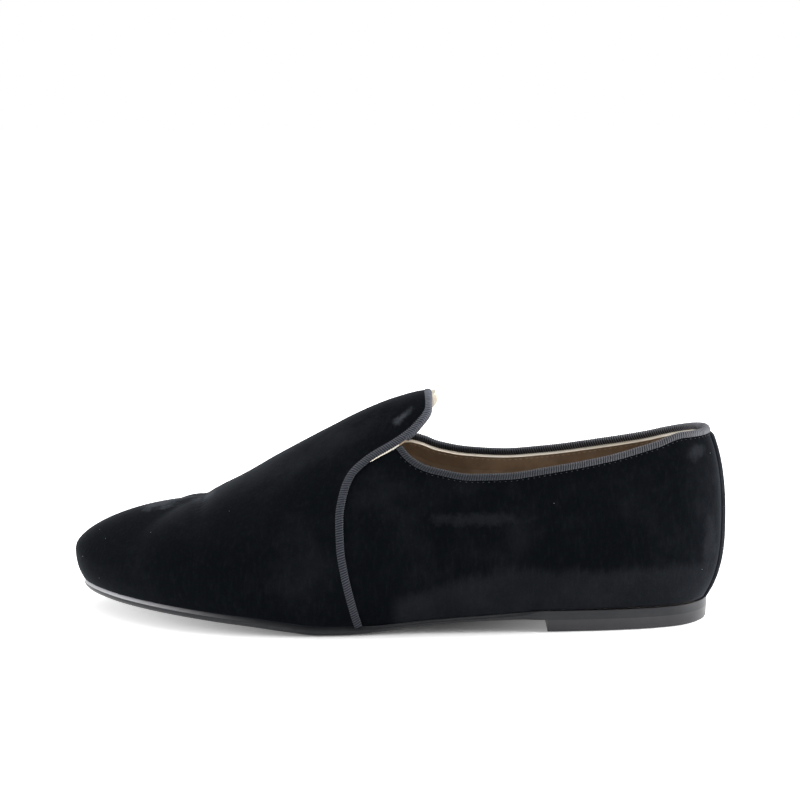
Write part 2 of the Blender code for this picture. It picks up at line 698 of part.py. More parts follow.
def material(name, color, roughness, sheen=0.0):
    """Principled material with one colour."""
    made = bpy.data.materials.new(name)
    made.use_nodes = True
    shader = made.node_tree.nodes["Principled BSDF"]
    shader.inputs["Base Color"].default_value = (*color, 1.0)
    shader.inputs["Roughness"].default_value = roughness
    shader.inputs["Sheen Weight"].default_value = sheen
    return made


def volume(verts, faces):
    """Volume inside the faces, negative where they point inwards."""
    total = 0.0
    for face in faces:
        first = verts[face[0]]
        for b, c in zip(face[1:-1], face[2:]):
            total += float(np.dot(first, np.cross(verts[b], verts[c]))) / 6
    return total


def build_mesh(name, solid, shift, finish, parent):
    """Mesh object of a solid, moved to the shared frame, with faces pointing out."""
    verts, faces = solid
    placed = np.stack([shift[0] - verts[:, 0], verts[:, 1] - shift[1], verts[:, 2] - shift[2]], axis=1)
    if volume(placed, faces) < 0:
        faces = [face[::-1] for face in faces]
    mesh = bpy.data.meshes.new(name)
    mesh.from_pydata((placed * MM).tolist(), [], [list(face) for face in faces])
    mesh.update()
    mesh.materials.append(finish)
    made = bpy.data.objects.new(name, mesh)
    bpy.context.scene.collection.objects.link(made)
    made.parent = parent
    return made


def main():
    """Build every solid of the shoe."""
    for old in list(bpy.data.objects):
        bpy.data.objects.remove(old, do_unlink=True)
    last = Last()
    solids = {
        "outsole": (outsole_solid(last), material("sole_grey", (0.055, 0.055, 0.06), 0.5)),
        "heel": (heel_solid(last), material("heel_grey", (0.045, 0.045, 0.05), 0.45)),
        "upper": (upper_solid(last), material("velvet_black", (0.006, 0.0065, 0.008), 0.9, 0.4)),
        "vamp_binding": (vamp_binding_solid(last), material("ribbon_navy", (0.03, 0.033, 0.045), 0.7)),
        "topline_binding": (topline_binding_solid(last), material("ribbon_charcoal", (0.028, 0.03, 0.036), 0.7)),
        "back_strip": (back_strip_solid(last), material("velvet_strip", (0.007, 0.0075, 0.009), 0.9, 0.4)),
        "insole": (insole_solid(last), material("lining_taupe", (0.24, 0.19, 0.14), 0.6)),
    }
    everything = np.concatenate([solid[0] for solid, _ in solids.values()])
    low, high = everything.min(axis=0), everything.max(axis=0)
    shift = ((low[0] + high[0]) / 2, (low[1] + high[1]) / 2, low[2])
    root = bpy.data.objects.new("loafer", None)
    bpy.context.scene.collection.objects.link(root)
    for name, (solid, finish) in solids.items():
        build_mesh(name, solid, shift, finish, root)


main()
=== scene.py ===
"""Velvet slipper loafer, dressed over its solids.

Sizes are in millimetres in the shoe's own axes: u from the back of the heel to
the toe, y to the inner side, z up. Frame.to_frame turns them into the row frame
in metres. Every cloth piece follows the same last as the solids do.
"""

import logging
import math
from collections.abc import Callable
from dataclasses import dataclass
from enum import Enum

import bpy
import numpy as np
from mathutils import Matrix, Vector


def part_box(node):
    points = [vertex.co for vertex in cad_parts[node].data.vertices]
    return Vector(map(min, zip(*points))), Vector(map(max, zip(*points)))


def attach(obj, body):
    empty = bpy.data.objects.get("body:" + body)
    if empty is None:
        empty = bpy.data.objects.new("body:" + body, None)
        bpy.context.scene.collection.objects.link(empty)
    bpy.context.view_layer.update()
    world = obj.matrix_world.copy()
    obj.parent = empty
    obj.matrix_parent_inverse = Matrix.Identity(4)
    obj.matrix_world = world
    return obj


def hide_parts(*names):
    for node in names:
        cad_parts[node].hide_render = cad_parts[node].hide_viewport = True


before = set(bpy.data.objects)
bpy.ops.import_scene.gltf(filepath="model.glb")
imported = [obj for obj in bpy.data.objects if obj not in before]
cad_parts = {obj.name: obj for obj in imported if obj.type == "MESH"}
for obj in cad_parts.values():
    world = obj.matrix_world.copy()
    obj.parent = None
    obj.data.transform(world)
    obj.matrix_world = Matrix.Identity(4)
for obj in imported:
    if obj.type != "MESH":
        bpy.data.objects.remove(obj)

LOG = logging.getLogger("loafer")

MM = 0.001
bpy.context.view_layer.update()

Array = np.ndarray
Color = tuple[float, float, float]
Point = tuple[float, float, float]
Socket = bpy.types.NodeSocket

# UV map with a piece's own places: along and across a ribbon, or along a sole and up its edge.
PLACES = "own_places"


class Side(Enum):
    """Side of the shoe."""

    OUTER = "outer"
    INNER = "inner"


class Slot(Enum):
    """Material slots of the record."""

    SOLE = "sole_rubber"
    HEEL = "heel_rubber"
    VELVET = "velvet"
    RIBBON = "ribbon"
    LINING = "lining"


class Along(Enum):
    """Axis of the row frame along which a ribbon's painted light changes its tone."""

    LENGTH = "X"
    HEIGHT = "Z"


def column(table: tuple, index: int) -> Array:
    """One column of a table as an array."""
    return np.array([row[index] for row in table], dtype=float)


def smooth_table(table: tuple, key: int, value: int, at: Array) -> Array:
    """Smooth value of a table's column, without overshoot between its rows.

    Args:
        table: rows with a name first and numbers after it.
        key: index of the column that orders the rows.
        value: index of the column to read.
        at: keys to read it at.

    Returns:
        The column's values at those keys.
    """
    xs, ys = column(table, key), column(table, value)
    at = np.clip(np.asarray(at, dtype=float), xs[0], xs[-1])
    steps = np.diff(xs)
    slopes = np.diff(ys) / steps
    tangent = np.zeros_like(ys)
    for i in range(1, len(xs) - 1):
        if slopes[i - 1] * slopes[i] > 0:
            near, far = 2 * steps[i] + steps[i - 1], steps[i] + 2 * steps[i - 1]
            tangent[i] = (near + far) / (near / slopes[i - 1] + far / slopes[i])
    tangent[0], tangent[-1] = slopes[0], slopes[-1]
    i = np.clip(np.searchsorted(xs, at, side="right") - 1, 0, len(xs) - 2)
    t = (at - xs[i]) / steps[i]
    rise = (1 + 2 * t) * (1 - t) ** 2 * ys[i] + t * t * (3 - 2 * t) * ys[i + 1]
    return rise + t * (1 - t) * steps[i] * ((1 - t) * tangent[i] - t * tangent[i + 1])


def ease(t: Array) -> Array:
    """Smooth step from 0 to 1."""
    t = np.clip(t, 0.0, 1.0)
    return t * t * (3 - 2 * t)


def travelled(path: Array) -> Array:
    """Length along a path at each of its points."""
    return np.concatenate([[0.0], np.cumsum(np.linalg.norm(np.diff(path, axis=0), axis=1))])


def directions(path: Array) -> Array:
    """Unit directions along a path at each of its points."""
    along = np.gradient(path, axis=0)
    return along / np.linalg.norm(along, axis=1, keepdims=True)


def resample(path: Array, count: int, grade: float = 1.0) -> Array:
    """Points at even or graded steps along a path.

    Args:
        path: points of the path, a row each.
        count: number of points wanted.
        grade: power that crowds the points at the start when above 1.

    Returns:
        The new points, a row each.
    """
    lengths = travelled(path)
    at = np.linspace(0.0, 1.0, count) ** grade * lengths[-1]
    return np.stack([np.interp(at, lengths, path[:, k]) for k in range(3)], axis=1)


# Sole outline: half widths before rounding at the ends, as shares of the ball width.
OUTLINE = (
    # place,        share of length, outer, inner
    ("heel back",   0.000, 0.590, 0.590),
    ("heel curve",  0.034, 0.562, 0.560),
    ("heel side",   0.078, 0.502, 0.504),
    ("heel front",  0.143, 0.448, 0.435),
    ("rear waist",  0.223, 0.409, 0.362),
    ("waist",       0.324, 0.382, 0.316),
    ("front waist", 0.425, 0.376, 0.326),
    ("joint start", 0.525, 0.430, 0.366),
    ("outer ball",  0.618, 0.500, 0.424),
    ("inner ball",  0.707, 0.547, 0.466),
    ("toe joint",   0.787, 0.578, 0.482),
    ("toe side",    0.860, 0.590, 0.489),
    ("toe round",   0.924, 0.578, 0.493),
    ("toe front",   0.973, 0.530, 0.497),
    ("toe end",     1.000, 0.480, 0.500),
)

# Sole: height of its underside as shares of the heel block and of the toe spring, and its thickness.
UNDERSIDE = (
    # place,       share, heel, spring, share of the full thickness
    ("heel back",  0.000, 1.00, 0.00, 1.00),
    ("breast",     0.262, 1.00, 0.00, 1.00),
    ("shank",      0.303, 0.97, 0.00, 0.82),
    ("waist",      0.365, 0.88, 0.00, 0.64),
    ("arch",       0.427, 0.66, 0.00, 0.62),
    ("arch end",   0.488, 0.36, 0.00, 0.68),
    ("ball rear",  0.540, 0.08, 0.00, 0.86),
    ("ball",       0.570, 0.00, 0.00, 0.97),
    ("ball flat",  0.612, 0.00, 0.00, 1.00),
    ("ball front", 0.660, 0.00, 0.16, 1.00),
    ("toe joint",  0.720, 0.00, 0.38, 1.00),
    ("toe bend",   0.780, 0.00, 0.53, 1.00),
    ("toe side",   0.840, 0.00, 0.67, 1.00),
    ("toe round",  0.920, 0.00, 0.83, 1.00),
    ("toe end",    1.000, 0.00, 1.00, 1.00),
)

# Half sections: how the wall swells beyond the sole's edge and how square it is.
SECTIONS = (
    # place,       share, swell out, swell in, widest point above the edge, full out, full in
    ("heel back",  0.000, 6.6, 6.6, 28.0, 2.40, 2.40),
    ("heel side",  0.060, 4.0, 4.0, 25.0, 2.05, 2.05),
    ("heel front", 0.160, 2.2, 2.4, 20.0, 1.85, 1.85),
    ("waist",      0.320, 1.4, 3.2, 18.0, 1.95, 1.95),
    ("instep",     0.480, 1.6, 3.4, 17.0, 1.90, 1.90),
    ("ball",       0.620, 1.8, 2.0, 13.0, 1.80, 1.85),
    ("toe joint",  0.740, 2.2, 1.8, 11.0, 1.90, 2.00),
    ("toe box",    0.830, 2.8, 2.4, 11.2, 2.20, 2.30),
    ("toe round",  0.930, 3.0, 2.9, 10.6, 1.58, 1.62),
    ("toe end",    1.000, 3.5, 3.5, 12.3, 1.60, 1.60),
)

# Top line of the last along the spine, as shares of the back and instep heights.
RIDGE = (
    # place,       share of length, of the back height, of the instep height
    ("back",       0.000, 1.197, 0.000),
    ("opening",    0.300, 0.594, 0.510),
    ("tongue end", 0.455, 0.000, 1.015),
    ("tongue",     0.500, 0.000, 0.980),
    ("instep",     0.562, 0.000, 0.902),
    ("vamp top",   0.625, 0.000, 0.811),
    ("vamp",       0.688, 0.000, 0.710),
    ("vamp low",   0.750, 0.000, 0.600),
    ("hollow",     0.785, 0.000, 0.542),
    ("toe box",    0.815, 0.000, 0.482),
)

# Spine of the last: middle line that the sections stand on.
SPINE = (
    # place,      share of length, share of the toe shift
    ("heel",      0.117, 0.00),
    ("waist",     0.300, 0.06),
    ("instep",    0.500, 0.16),
    ("ball",      0.650, 0.34),
    ("toe box",   0.805, 0.60),
)

# Top edge of the quarters, as shares of the back height.
TOPLINE = (
    # place,      share along the sole, outer, inner
    ("back",      0.000, 1.004, 1.004),
    ("back side", 0.038, 1.001, 0.966),
    ("heel",      0.090, 0.956, 0.924),
    ("ankle",     0.158, 0.894, 0.885),
    ("low start", 0.258, 0.836, 0.837),
    ("low",       0.322, 0.807, 0.821),
    ("lowest",    0.376, 0.803, 0.829),
    ("front low", 0.425, 0.828, 0.858),
    ("rise",      0.458, 0.859, 0.902),
    ("near notch", 0.472, 0.886, 0.914),
    ("notch",     0.488, 0.942, 0.914),
)

# Rear edge of the vamp, from the middle of the tongue down to the sole.
VAMP_EDGE = (
    # place,         order, share of length, angle round the section in degrees
    ("tongue end",    0, 0.4578,  90.0),
    ("tongue top",    1, 0.4568,  78.5),
    ("tongue side",   2, 0.4728,  71.2),
    ("notch",         3, 0.5034,  65.4),
    ("notch below",   4, 0.5470,  60.2),
    ("bend",          5, 0.5695,  54.8),
    ("upper side",    6, 0.5805,  46.5),
    ("side",          7, 0.5858,  35.0),
    ("middle",        8, 0.5843,  21.0),
    ("lower side",    9, 0.5785,   8.0),
    ("low",          10, 0.5680,  -8.0),
    ("sole",         11, 0.5550, -25.0),
)
NOTCH_ROW = 3

# Gap between the sole and the edge of the upper, squareness of the sections below their widest
# point, and the shares between which the sole's edge goes over from the heel's form to the front's.
EDGE_GAP = 0.3
LOWER_SQUARE = 2.4
BEVEL_START = 0.262
BEVEL_FULL = 0.300


@dataclass(frozen=True)
class Sizes:
    """Driving sizes of the shoe in millimetres, as the solids have them."""

    length: float = 257.0
    ball_width: float = 88.0
    back_height: float = 74.6
    instep_height: float = 86.7
    sole_thick: float = 3.5
    heel_block: float = 4.7
    toe_spring: float = 7.2
    wall: float = 1.8
    overlap_step: float = 0.9
    sole_margin: float = 0.9
    toe_shift: float = 14.0
    feather_back: float = 0.0333
    feather_toe: float = 0.993


class Last:
    """Surface that the upper is stretched over.

    theta runs round the sole: 0 at the back of the heel, pi at the toe, with
    the outer side between them.
    """

    def __init__(self, sizes: Sizes) -> None:
        """Work out where the sole's edge starts and how the ends fan out.

        Args:
            sizes: driving sizes of the shoe.
        """
        self.sizes = sizes
        self.back = sizes.feather_back * sizes.length
        self.run = (sizes.feather_toe - sizes.feather_back) * sizes.length
        self.heel_u = SPINE[0][1] * sizes.length
        self.toe_u = SPINE[-1][1] * sizes.length
        self.toe_fan = self.fan_table(self.toe_u, math.pi, 1.0)
        self.heel_fan = self.fan_table(self.heel_u, 0.0, -1.0)

    def underside(self, u: Array) -> Array:
        """Height of the sole's underside at u.

        Args:
            u: places along the shoe.

        Returns:
            Heights above the floor.
        """
        share = np.clip((u - self.back) / self.run, 0.0, 1.0)
        heel = smooth_table(UNDERSIDE, 1, 2, share) * self.sizes.heel_block
        return heel + smooth_table(UNDERSIDE, 1, 3, share) * self.sizes.toe_spring

    def sole_top(self, u: Array) -> Array:
        """Height of the sole's upper face at u."""
        share = np.clip((u - self.back) / self.run, 0.0, 1.0)
        return self.underside(u) + smooth_table(UNDERSIDE, 1, 4, share) * self.sizes.sole_thick

    def loop(self, theta: Array, margin: Array | float = 0.0) -> tuple[Array, Array]:
        """Plan of the sole's edge.

        Args:
            theta: places round the sole.
            margin: how far the edge is grown outwards.

        Returns:
            Arrays u and y.
        """
        theta = np.asarray(theta, dtype=float)
        share = (1 - np.cos(theta)) / 2
        outer = smooth_table(OUTLINE, 1, 2, share)
        inner = smooth_table(OUTLINE, 1, 3, share)
        half = np.where(np.sin(theta) >= 0, outer, inner) * self.sizes.ball_width
        u = self.back + share * self.run
        y = self.sizes.toe_shift * ease((share - 0.4) / 0.6) - np.sin(theta) * half
        if np.any(margin):
            step = 1e-3
            u0, y0 = self.loop(theta - step)
            u1, y1 = self.loop(theta + step)
            norm = np.hypot(u1 - u0, y1 - y0)
            u, y = u + margin * (y1 - y0) / norm, y - margin * (u1 - u0) / norm
        return u, y

    def spine(self, u: Array) -> tuple[Array, Array]:
        """Spine point below u: arrays u and y."""
        at = np.clip(u, self.heel_u, self.toe_u)
        return at, smooth_table(SPINE, 1, 2, at / self.sizes.length) * self.sizes.toe_shift

    def fan_table(self, pivot_u: float, middle: float, way: float) -> tuple[Array, Array]:
        """Directions from an end of the spine to the sole's edge.

        Args:
            pivot_u: where the spine ends.
            middle: theta of the far end of the shoe.
            way: 1 at the toe, -1 at the heel.

        Returns:
            Directions and the thetas they belong to.
        """
        reach = math.acos(max(-1.0, min(1.0, -way * (1 - 2 * (pivot_u - self.back) / self.run))))
        theta = np.linspace(middle - reach, middle + reach, 241)
        u, y = self.loop(theta)
        pivot = self.spine(np.array(pivot_u))
        turn = np.arctan2(way * (y - pivot[1]), way * (u - pivot[0]))
        return np.unwrap(turn), theta

    def theta_of(self, u: Array, y: Array) -> Array:
        """Theta of the half section that a plan point lies in.

        Args:
            u: places along the shoe.
            y: places across it.

        Returns:
            The thetas.
        """
        at, mid = self.spine(u)
        share = np.clip((at - self.back) / self.run, 0.0, 1.0)
        straight = np.arccos(1 - 2 * share)
        straight = np.where(y - mid > 0, 2 * math.pi - straight, straight)
        toe = np.interp(np.arctan2(y - mid, u - at), *self.toe_fan)
        heel = np.interp(np.arctan2(mid - y, at - u), *self.heel_fan) % (2 * math.pi)
        return np.where(u > self.toe_u, toe, np.where(u < self.heel_u, heel, straight))

    def section(self, theta: Array) -> dict[str, Array]:
        """Numbers of the half sections at theta.

        Args:
            theta: places round the sole.

        Returns:
            Arrays by name: spine point, direction, reaches, heights and squareness.
        """
        theta = np.asarray(theta, dtype=float)
        share = (1 - np.cos(theta)) / 2
        outer = np.sin(theta) >= 0
        u, y = self.loop(theta)
        at, mid = self.spine(u)
        reach = np.hypot(u - at, y - mid)
        swell, full = [np.where(outer, smooth_table(SECTIONS, 1, column_out, share),
                                smooth_table(SECTIONS, 1, column_out + 1, share))
                       for column_out in (2, 5)]
        edge_z = self.sole_top(u) + EDGE_GAP
        widest_z = edge_z + smooth_table(SECTIONS, 1, 4, share)
        ridge_z = smooth_table(RIDGE, 1, 2, at / self.sizes.length) * self.sizes.back_height
        ridge_z = ridge_z + smooth_table(RIDGE, 1, 3, at / self.sizes.length) * self.sizes.instep_height
        return {
            "at": at, "mid": mid, "way_u": (u - at) / reach, "way_y": (y - mid) / reach,
            "edge": reach, "edge_z": edge_z, "widest": reach + swell,
            "widest_z": widest_z, "rise": ridge_z - widest_z, "full": full,
        }

    def radius(self, cut: dict[str, Array], angle: Array) -> Array:
        """Distance from the section's centre to the surface at an angle above level.

        Args:
            cut: numbers of the sections.
            angle: angles in radians.

        Returns:
            The distances.
        """
        c, s = np.abs(np.cos(angle)), np.abs(np.sin(angle))
        full, square = cut["full"], LOWER_SQUARE
        above = ((c / cut["widest"]) ** full + (s / cut["rise"]) ** full) ** (-1 / full)
        drop = cut["widest_z"] - cut["edge_z"]
        foot = drop / (1 - (cut["edge"] / cut["widest"]) ** square) ** (1 / square)
        below = ((c / cut["widest"]) ** square + (s / foot) ** square) ** (-1 / square)
        return np.where(np.sin(angle) >= 0, above, below)

    def place(self, cut: dict[str, Array], angle: Array) -> Array:
        """Points of the surface in given sections at given angles.

        Args:
            cut: numbers of the sections.
            angle: angles in radians.

        Returns:
            The points.
        """
        radius = self.radius(cut, angle)
        out = radius * np.cos(angle)
        return np.stack([cut["at"] + cut["way_u"] * out, cut["mid"] + cut["way_y"] * out,
                         cut["widest_z"] + radius * np.sin(angle)], axis=-1)

    def polar(self, points: Array) -> tuple[dict[str, Array], Array, Array]:
        """Sections, angles and distances of points, seen from the spine.

        Args:
            points: points in the shoe's axes.

        Returns:
            The sections, the angles and the distances.
        """
        u, y, z = points[..., 0], points[..., 1], points[..., 2]
        cut = self.section(self.theta_of(u, y))
        out = np.hypot(u - cut["at"], y - cut["mid"])
        up = z - cut["widest_z"]
        return cut, np.arctan2(up, out), np.hypot(out, up)

    def project(self, points: Array) -> Array:
        """Places on the surface that the points fall on, seen from the spine."""
        cut, angle, _ = self.polar(points)
        return self.place(cut, angle)

    def shell(self, points: Array) -> Array:
        """How far out the points lie: 1 on the surface."""
        cut, angle, distance = self.polar(points)
        return distance / self.radius(cut, angle)

    def normal(self, points: Array) -> Array:
        """Outward unit normals of the surface.

        Args:
            points: points near the surface.

        Returns:
            A unit vector for each point.
        """
        step = 0.6
        parts = []
        for axis in range(3):
            shift = np.zeros(3)
            shift[axis] = step
            parts.append(self.shell(points + shift) - self.shell(points - shift))
        normal = np.stack(parts, axis=-1)
        return normal / np.linalg.norm(normal, axis=-1, keepdims=True)

    def wall_point(self, theta: Array, height: Array) -> Array:
        """Points of the surface at theta and at heights above the floor.

        Args:
            theta: places round the sole.
            height: heights above the floor.

        Returns:
            The points.
        """
        cut = self.section(theta)
        share = np.clip((height - cut["widest_z"]) / cut["rise"], 0.0, 1.0)
        out = cut["widest"] * (1 - share ** cut["full"]) ** (1 / cut["full"])
        return np.stack([cut["at"] + cut["way_u"] * out, cut["mid"] + cut["way_y"] * out,
                         height + 0.0 * out], axis=-1)

    def offset(self, points: Array, lift: Array | float) -> Array:
        """Points moved off the surface along its normal."""
        lift = np.asarray(lift, dtype=float)
        return points + self.normal(points) * (lift[..., None] if lift.ndim else lift)

    def spot(self, share: float, angle: float, side: Side) -> Array:
        """Point of the surface at a share of the length and an angle in degrees.

        Args:
            share: share of the length.
            angle: angle above level in degrees.
            side: side of the shoe.

        Returns:
            The point.
        """
        u = np.array([share * self.sizes.length])
        theta = np.arccos(1 - 2 * np.clip((u - self.back) / self.run, 0.0, 1.0))
        if side is Side.INNER:
            theta = 2 * math.pi - theta
        return self.place(self.section(theta), np.radians(np.array([angle])))[0]


@dataclass(frozen=True)
class Frame:
    """Way from the shoe's own axes to the row frame."""

    shift_u: float
    shift_y: float

    @classmethod
    def from_sole(cls, last: Last) -> "Frame":
        """Find the shift from the box of the sole's solid.

        Args:
            last: surface that the sole follows.

        Returns:
            The way to the row frame.
        """
        low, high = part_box("outsole")
        u, y = last.loop(np.linspace(0, 2 * math.pi, 1441), last.sizes.sole_margin)
        shift_u = (high.x / MM + u.min() + low.x / MM + u.max()) / 2
        shift_y = (y.max() - high.y / MM + y.min() - low.y / MM) / 2
        return cls(float(shift_u), float(shift_y))

    def to_frame(self, points: Array) -> Array:
        """Points in the row frame, in metres."""
        return np.stack([self.shift_u - points[..., 0], points[..., 1] - self.shift_y,
                         points[..., 2]], axis=-1) * MM


class Graph:
    """Small helper that adds and links shader nodes."""

    def __init__(self, tree: bpy.types.NodeTree) -> None:
        """Keep the tree that the nodes go to."""
        self.tree = tree

    def node(self, kind: str, **values: object) -> bpy.types.Node:
        """Add a node and set its properties.

        Args:
            kind: type of the node.
            values: properties to set on it.

        Returns:
            The new node.
        """
        made = self.tree.nodes.new(kind)
        for name, value in values.items():
            setattr(made, name, value)
        return made

    def link(self, source: Socket, target: Socket) -> None:
        """Link two sockets."""
        self.tree.links.new(source, target)

    def feed(self, socket: Socket, value: object) -> None:
        """Link a socket to another one, or set its value.

        Args:
            socket: input to feed.
            value: a socket or a plain value.
        """
        if isinstance(value, Socket):
            self.link(value, socket)
        else:
            socket.default_value = value

    def group(self, tree: bpy.types.NodeTree, values: dict[str, object]) -> bpy.types.Node:
        """Add a node group and feed its named inputs.

        Args:
            tree: the group.
            values: a socket or a plain value for each input's name.

        Returns:
            The new node.
        """
        made = self.node("ShaderNodeGroup", node_tree=tree)
        for name, value in values.items():
            self.feed(made.inputs[name], value)
        return made

    def where(self) -> Socket:
        """Add a coordinate node and return the place in the piece's own axes."""
        return self.node("ShaderNodeTexCoord").outputs["Object"]

    def own_place(self) -> Socket:
        """Add a UV Map node and return the piece's own place."""
        return self.node("ShaderNodeUVMap", uv_map=PLACES).outputs["UV"]

    def apart(self, vector: Socket) -> bpy.types.NodeOutputs:
        """Split a vector and return the outputs X, Y and Z.

        Args:
            vector: the vector.

        Returns:
            The outputs, by name.
        """
        made = self.node("ShaderNodeSeparateXYZ")
        self.link(vector, made.inputs[0])
        return made.outputs

    def math(self, operation: str, first: object, second: object = 0.0,
             clamp: bool = False) -> Socket:
        """Add a Math node and return its output.

        Args:
            operation: name of the operation.
            first: first value or socket.
            second: second value or socket.
            clamp: whether the result stays between 0 and 1.

        Returns:
            The result's socket.
        """
        made = self.node("ShaderNodeMath", operation=operation, use_clamp=clamp)
        self.feed(made.inputs[0], first)
        self.feed(made.inputs[1], second)
        return made.outputs[0]

    def noise(self, vector: object, scale: float, detail: float = 2.0,
              roughness: float = 0.5) -> Socket:
        """Add a Noise node and return its value.

        Args:
            vector: place that it is read at.
            scale: its scale.
            detail: its number of octaves.
            roughness: how strong the finer ones are.

        Returns:
            The value's socket.
        """
        made = self.node("ShaderNodeTexNoise")
        self.feed(made.inputs["Vector"], vector)
        made.inputs["Scale"].default_value = scale
        made.inputs["Detail"].default_value = detail
        made.inputs["Roughness"].default_value = roughness
        return made.outputs["Fac"]

    def span(self, value: object, low: float, high: float, to_low: float = 0.0,
             to_high: float = 1.0) -> Socket:
        """Add a Map Range node with a smooth step and return its result.

        Args:
            value: value to map.
            low: where it starts.
            high: where it ends.
            to_low: result at the start.
            to_high: result at the end.

        Returns:
            The result's socket.
        """
        made = self.node("ShaderNodeMapRange", interpolation_type="SMOOTHSTEP")
        self.feed(made.inputs["Value"], value)
        for name, number in (("From Min", low), ("From Max", high),
                             ("To Min", to_low), ("To Max", to_high)):
            made.inputs[name].default_value = number
        return made.outputs["Result"]

    def stretch(self, vector: object, scale: Point) -> Socket:
        """Scale a vector along its axes.

        Args:
            vector: the vector.
            scale: factor for each axis.

        Returns:
            The scaled vector's socket.
        """
        made = self.node("ShaderNodeMapping")
        self.feed(made.inputs["Vector"], vector)
        made.inputs["Scale"].default_value = scale
        return made.outputs["Vector"]

    def mix(self, factor: object, first: object, second: object) -> Socket:
        """Mix two colours and return the result.

        Args:
            factor: share of the second colour.
            first: first colour or socket.
            second: second colour or socket.

        Returns:
            The mixed colour's socket.
        """
        made = self.node("ShaderNodeMix", data_type="RGBA")
        self.feed(made.inputs[0], factor)
        self.feed(made.inputs[6], first)
        self.feed(made.inputs[7], second)
        return made.outputs[2]


def color4(color: Color) -> tuple[float, float, float, float]:
    """Colour with full alpha."""
    return (*color, 1.0)


def blank_material(name: str) -> tuple[bpy.types.Material, Graph, bpy.types.Node]:
    """New material with its graph helper and its Principled shader.

    Args:
        name: name of the material.

    Returns:
        The material, its graph helper and its shader.
    """
    made = bpy.data.materials.new(name)
    made.use_nodes = True
    return made, Graph(made.node_tree), made.node_tree.nodes["Principled BSDF"]


def add_bump(graph: Graph, shader: bpy.types.Node, height: Socket, strength: float,
             depth: float) -> None:
    """Give a shader relief.

    Args:
        graph: helper of the material.
        shader: its Principled shader.
        height: height over the surface.
        strength: strength of the bump.
        depth: depth of the relief in millimetres.
    """
    bump = graph.node("ShaderNodeBump")
    bump.inputs["Strength"].default_value = strength
    bump.inputs["Distance"].default_value = depth * MM
    graph.link(height, bump.inputs["Height"])
    graph.link(bump.outputs["Normal"], shader.inputs["Normal"])


def new_group(name: str, inputs: tuple, outputs: tuple) -> tuple[bpy.types.NodeTree, Graph,
                                                                bpy.types.Node, bpy.types.Node]:
    """Make an empty shader group.

    Args:
        name: name of the group.
        inputs: rows of name, socket type and default value.
        outputs: rows of name and socket type.

    Returns:
        The tree, its graph helper, its input node and its output node.
    """
    tree = bpy.data.node_groups.new(name, "ShaderNodeTree")
    for label, kind, value in inputs:
        socket = tree.interface.new_socket(name=label, in_out="INPUT", socket_type=kind)
        if value is not None:
            socket.default_value = value
    for label, kind in outputs:
        tree.interface.new_socket(name=label, in_out="OUTPUT", socket_type=kind)
    graph = Graph(tree)
    return tree, graph, graph.node("NodeGroupInput"), graph.node("NodeGroupOutput")


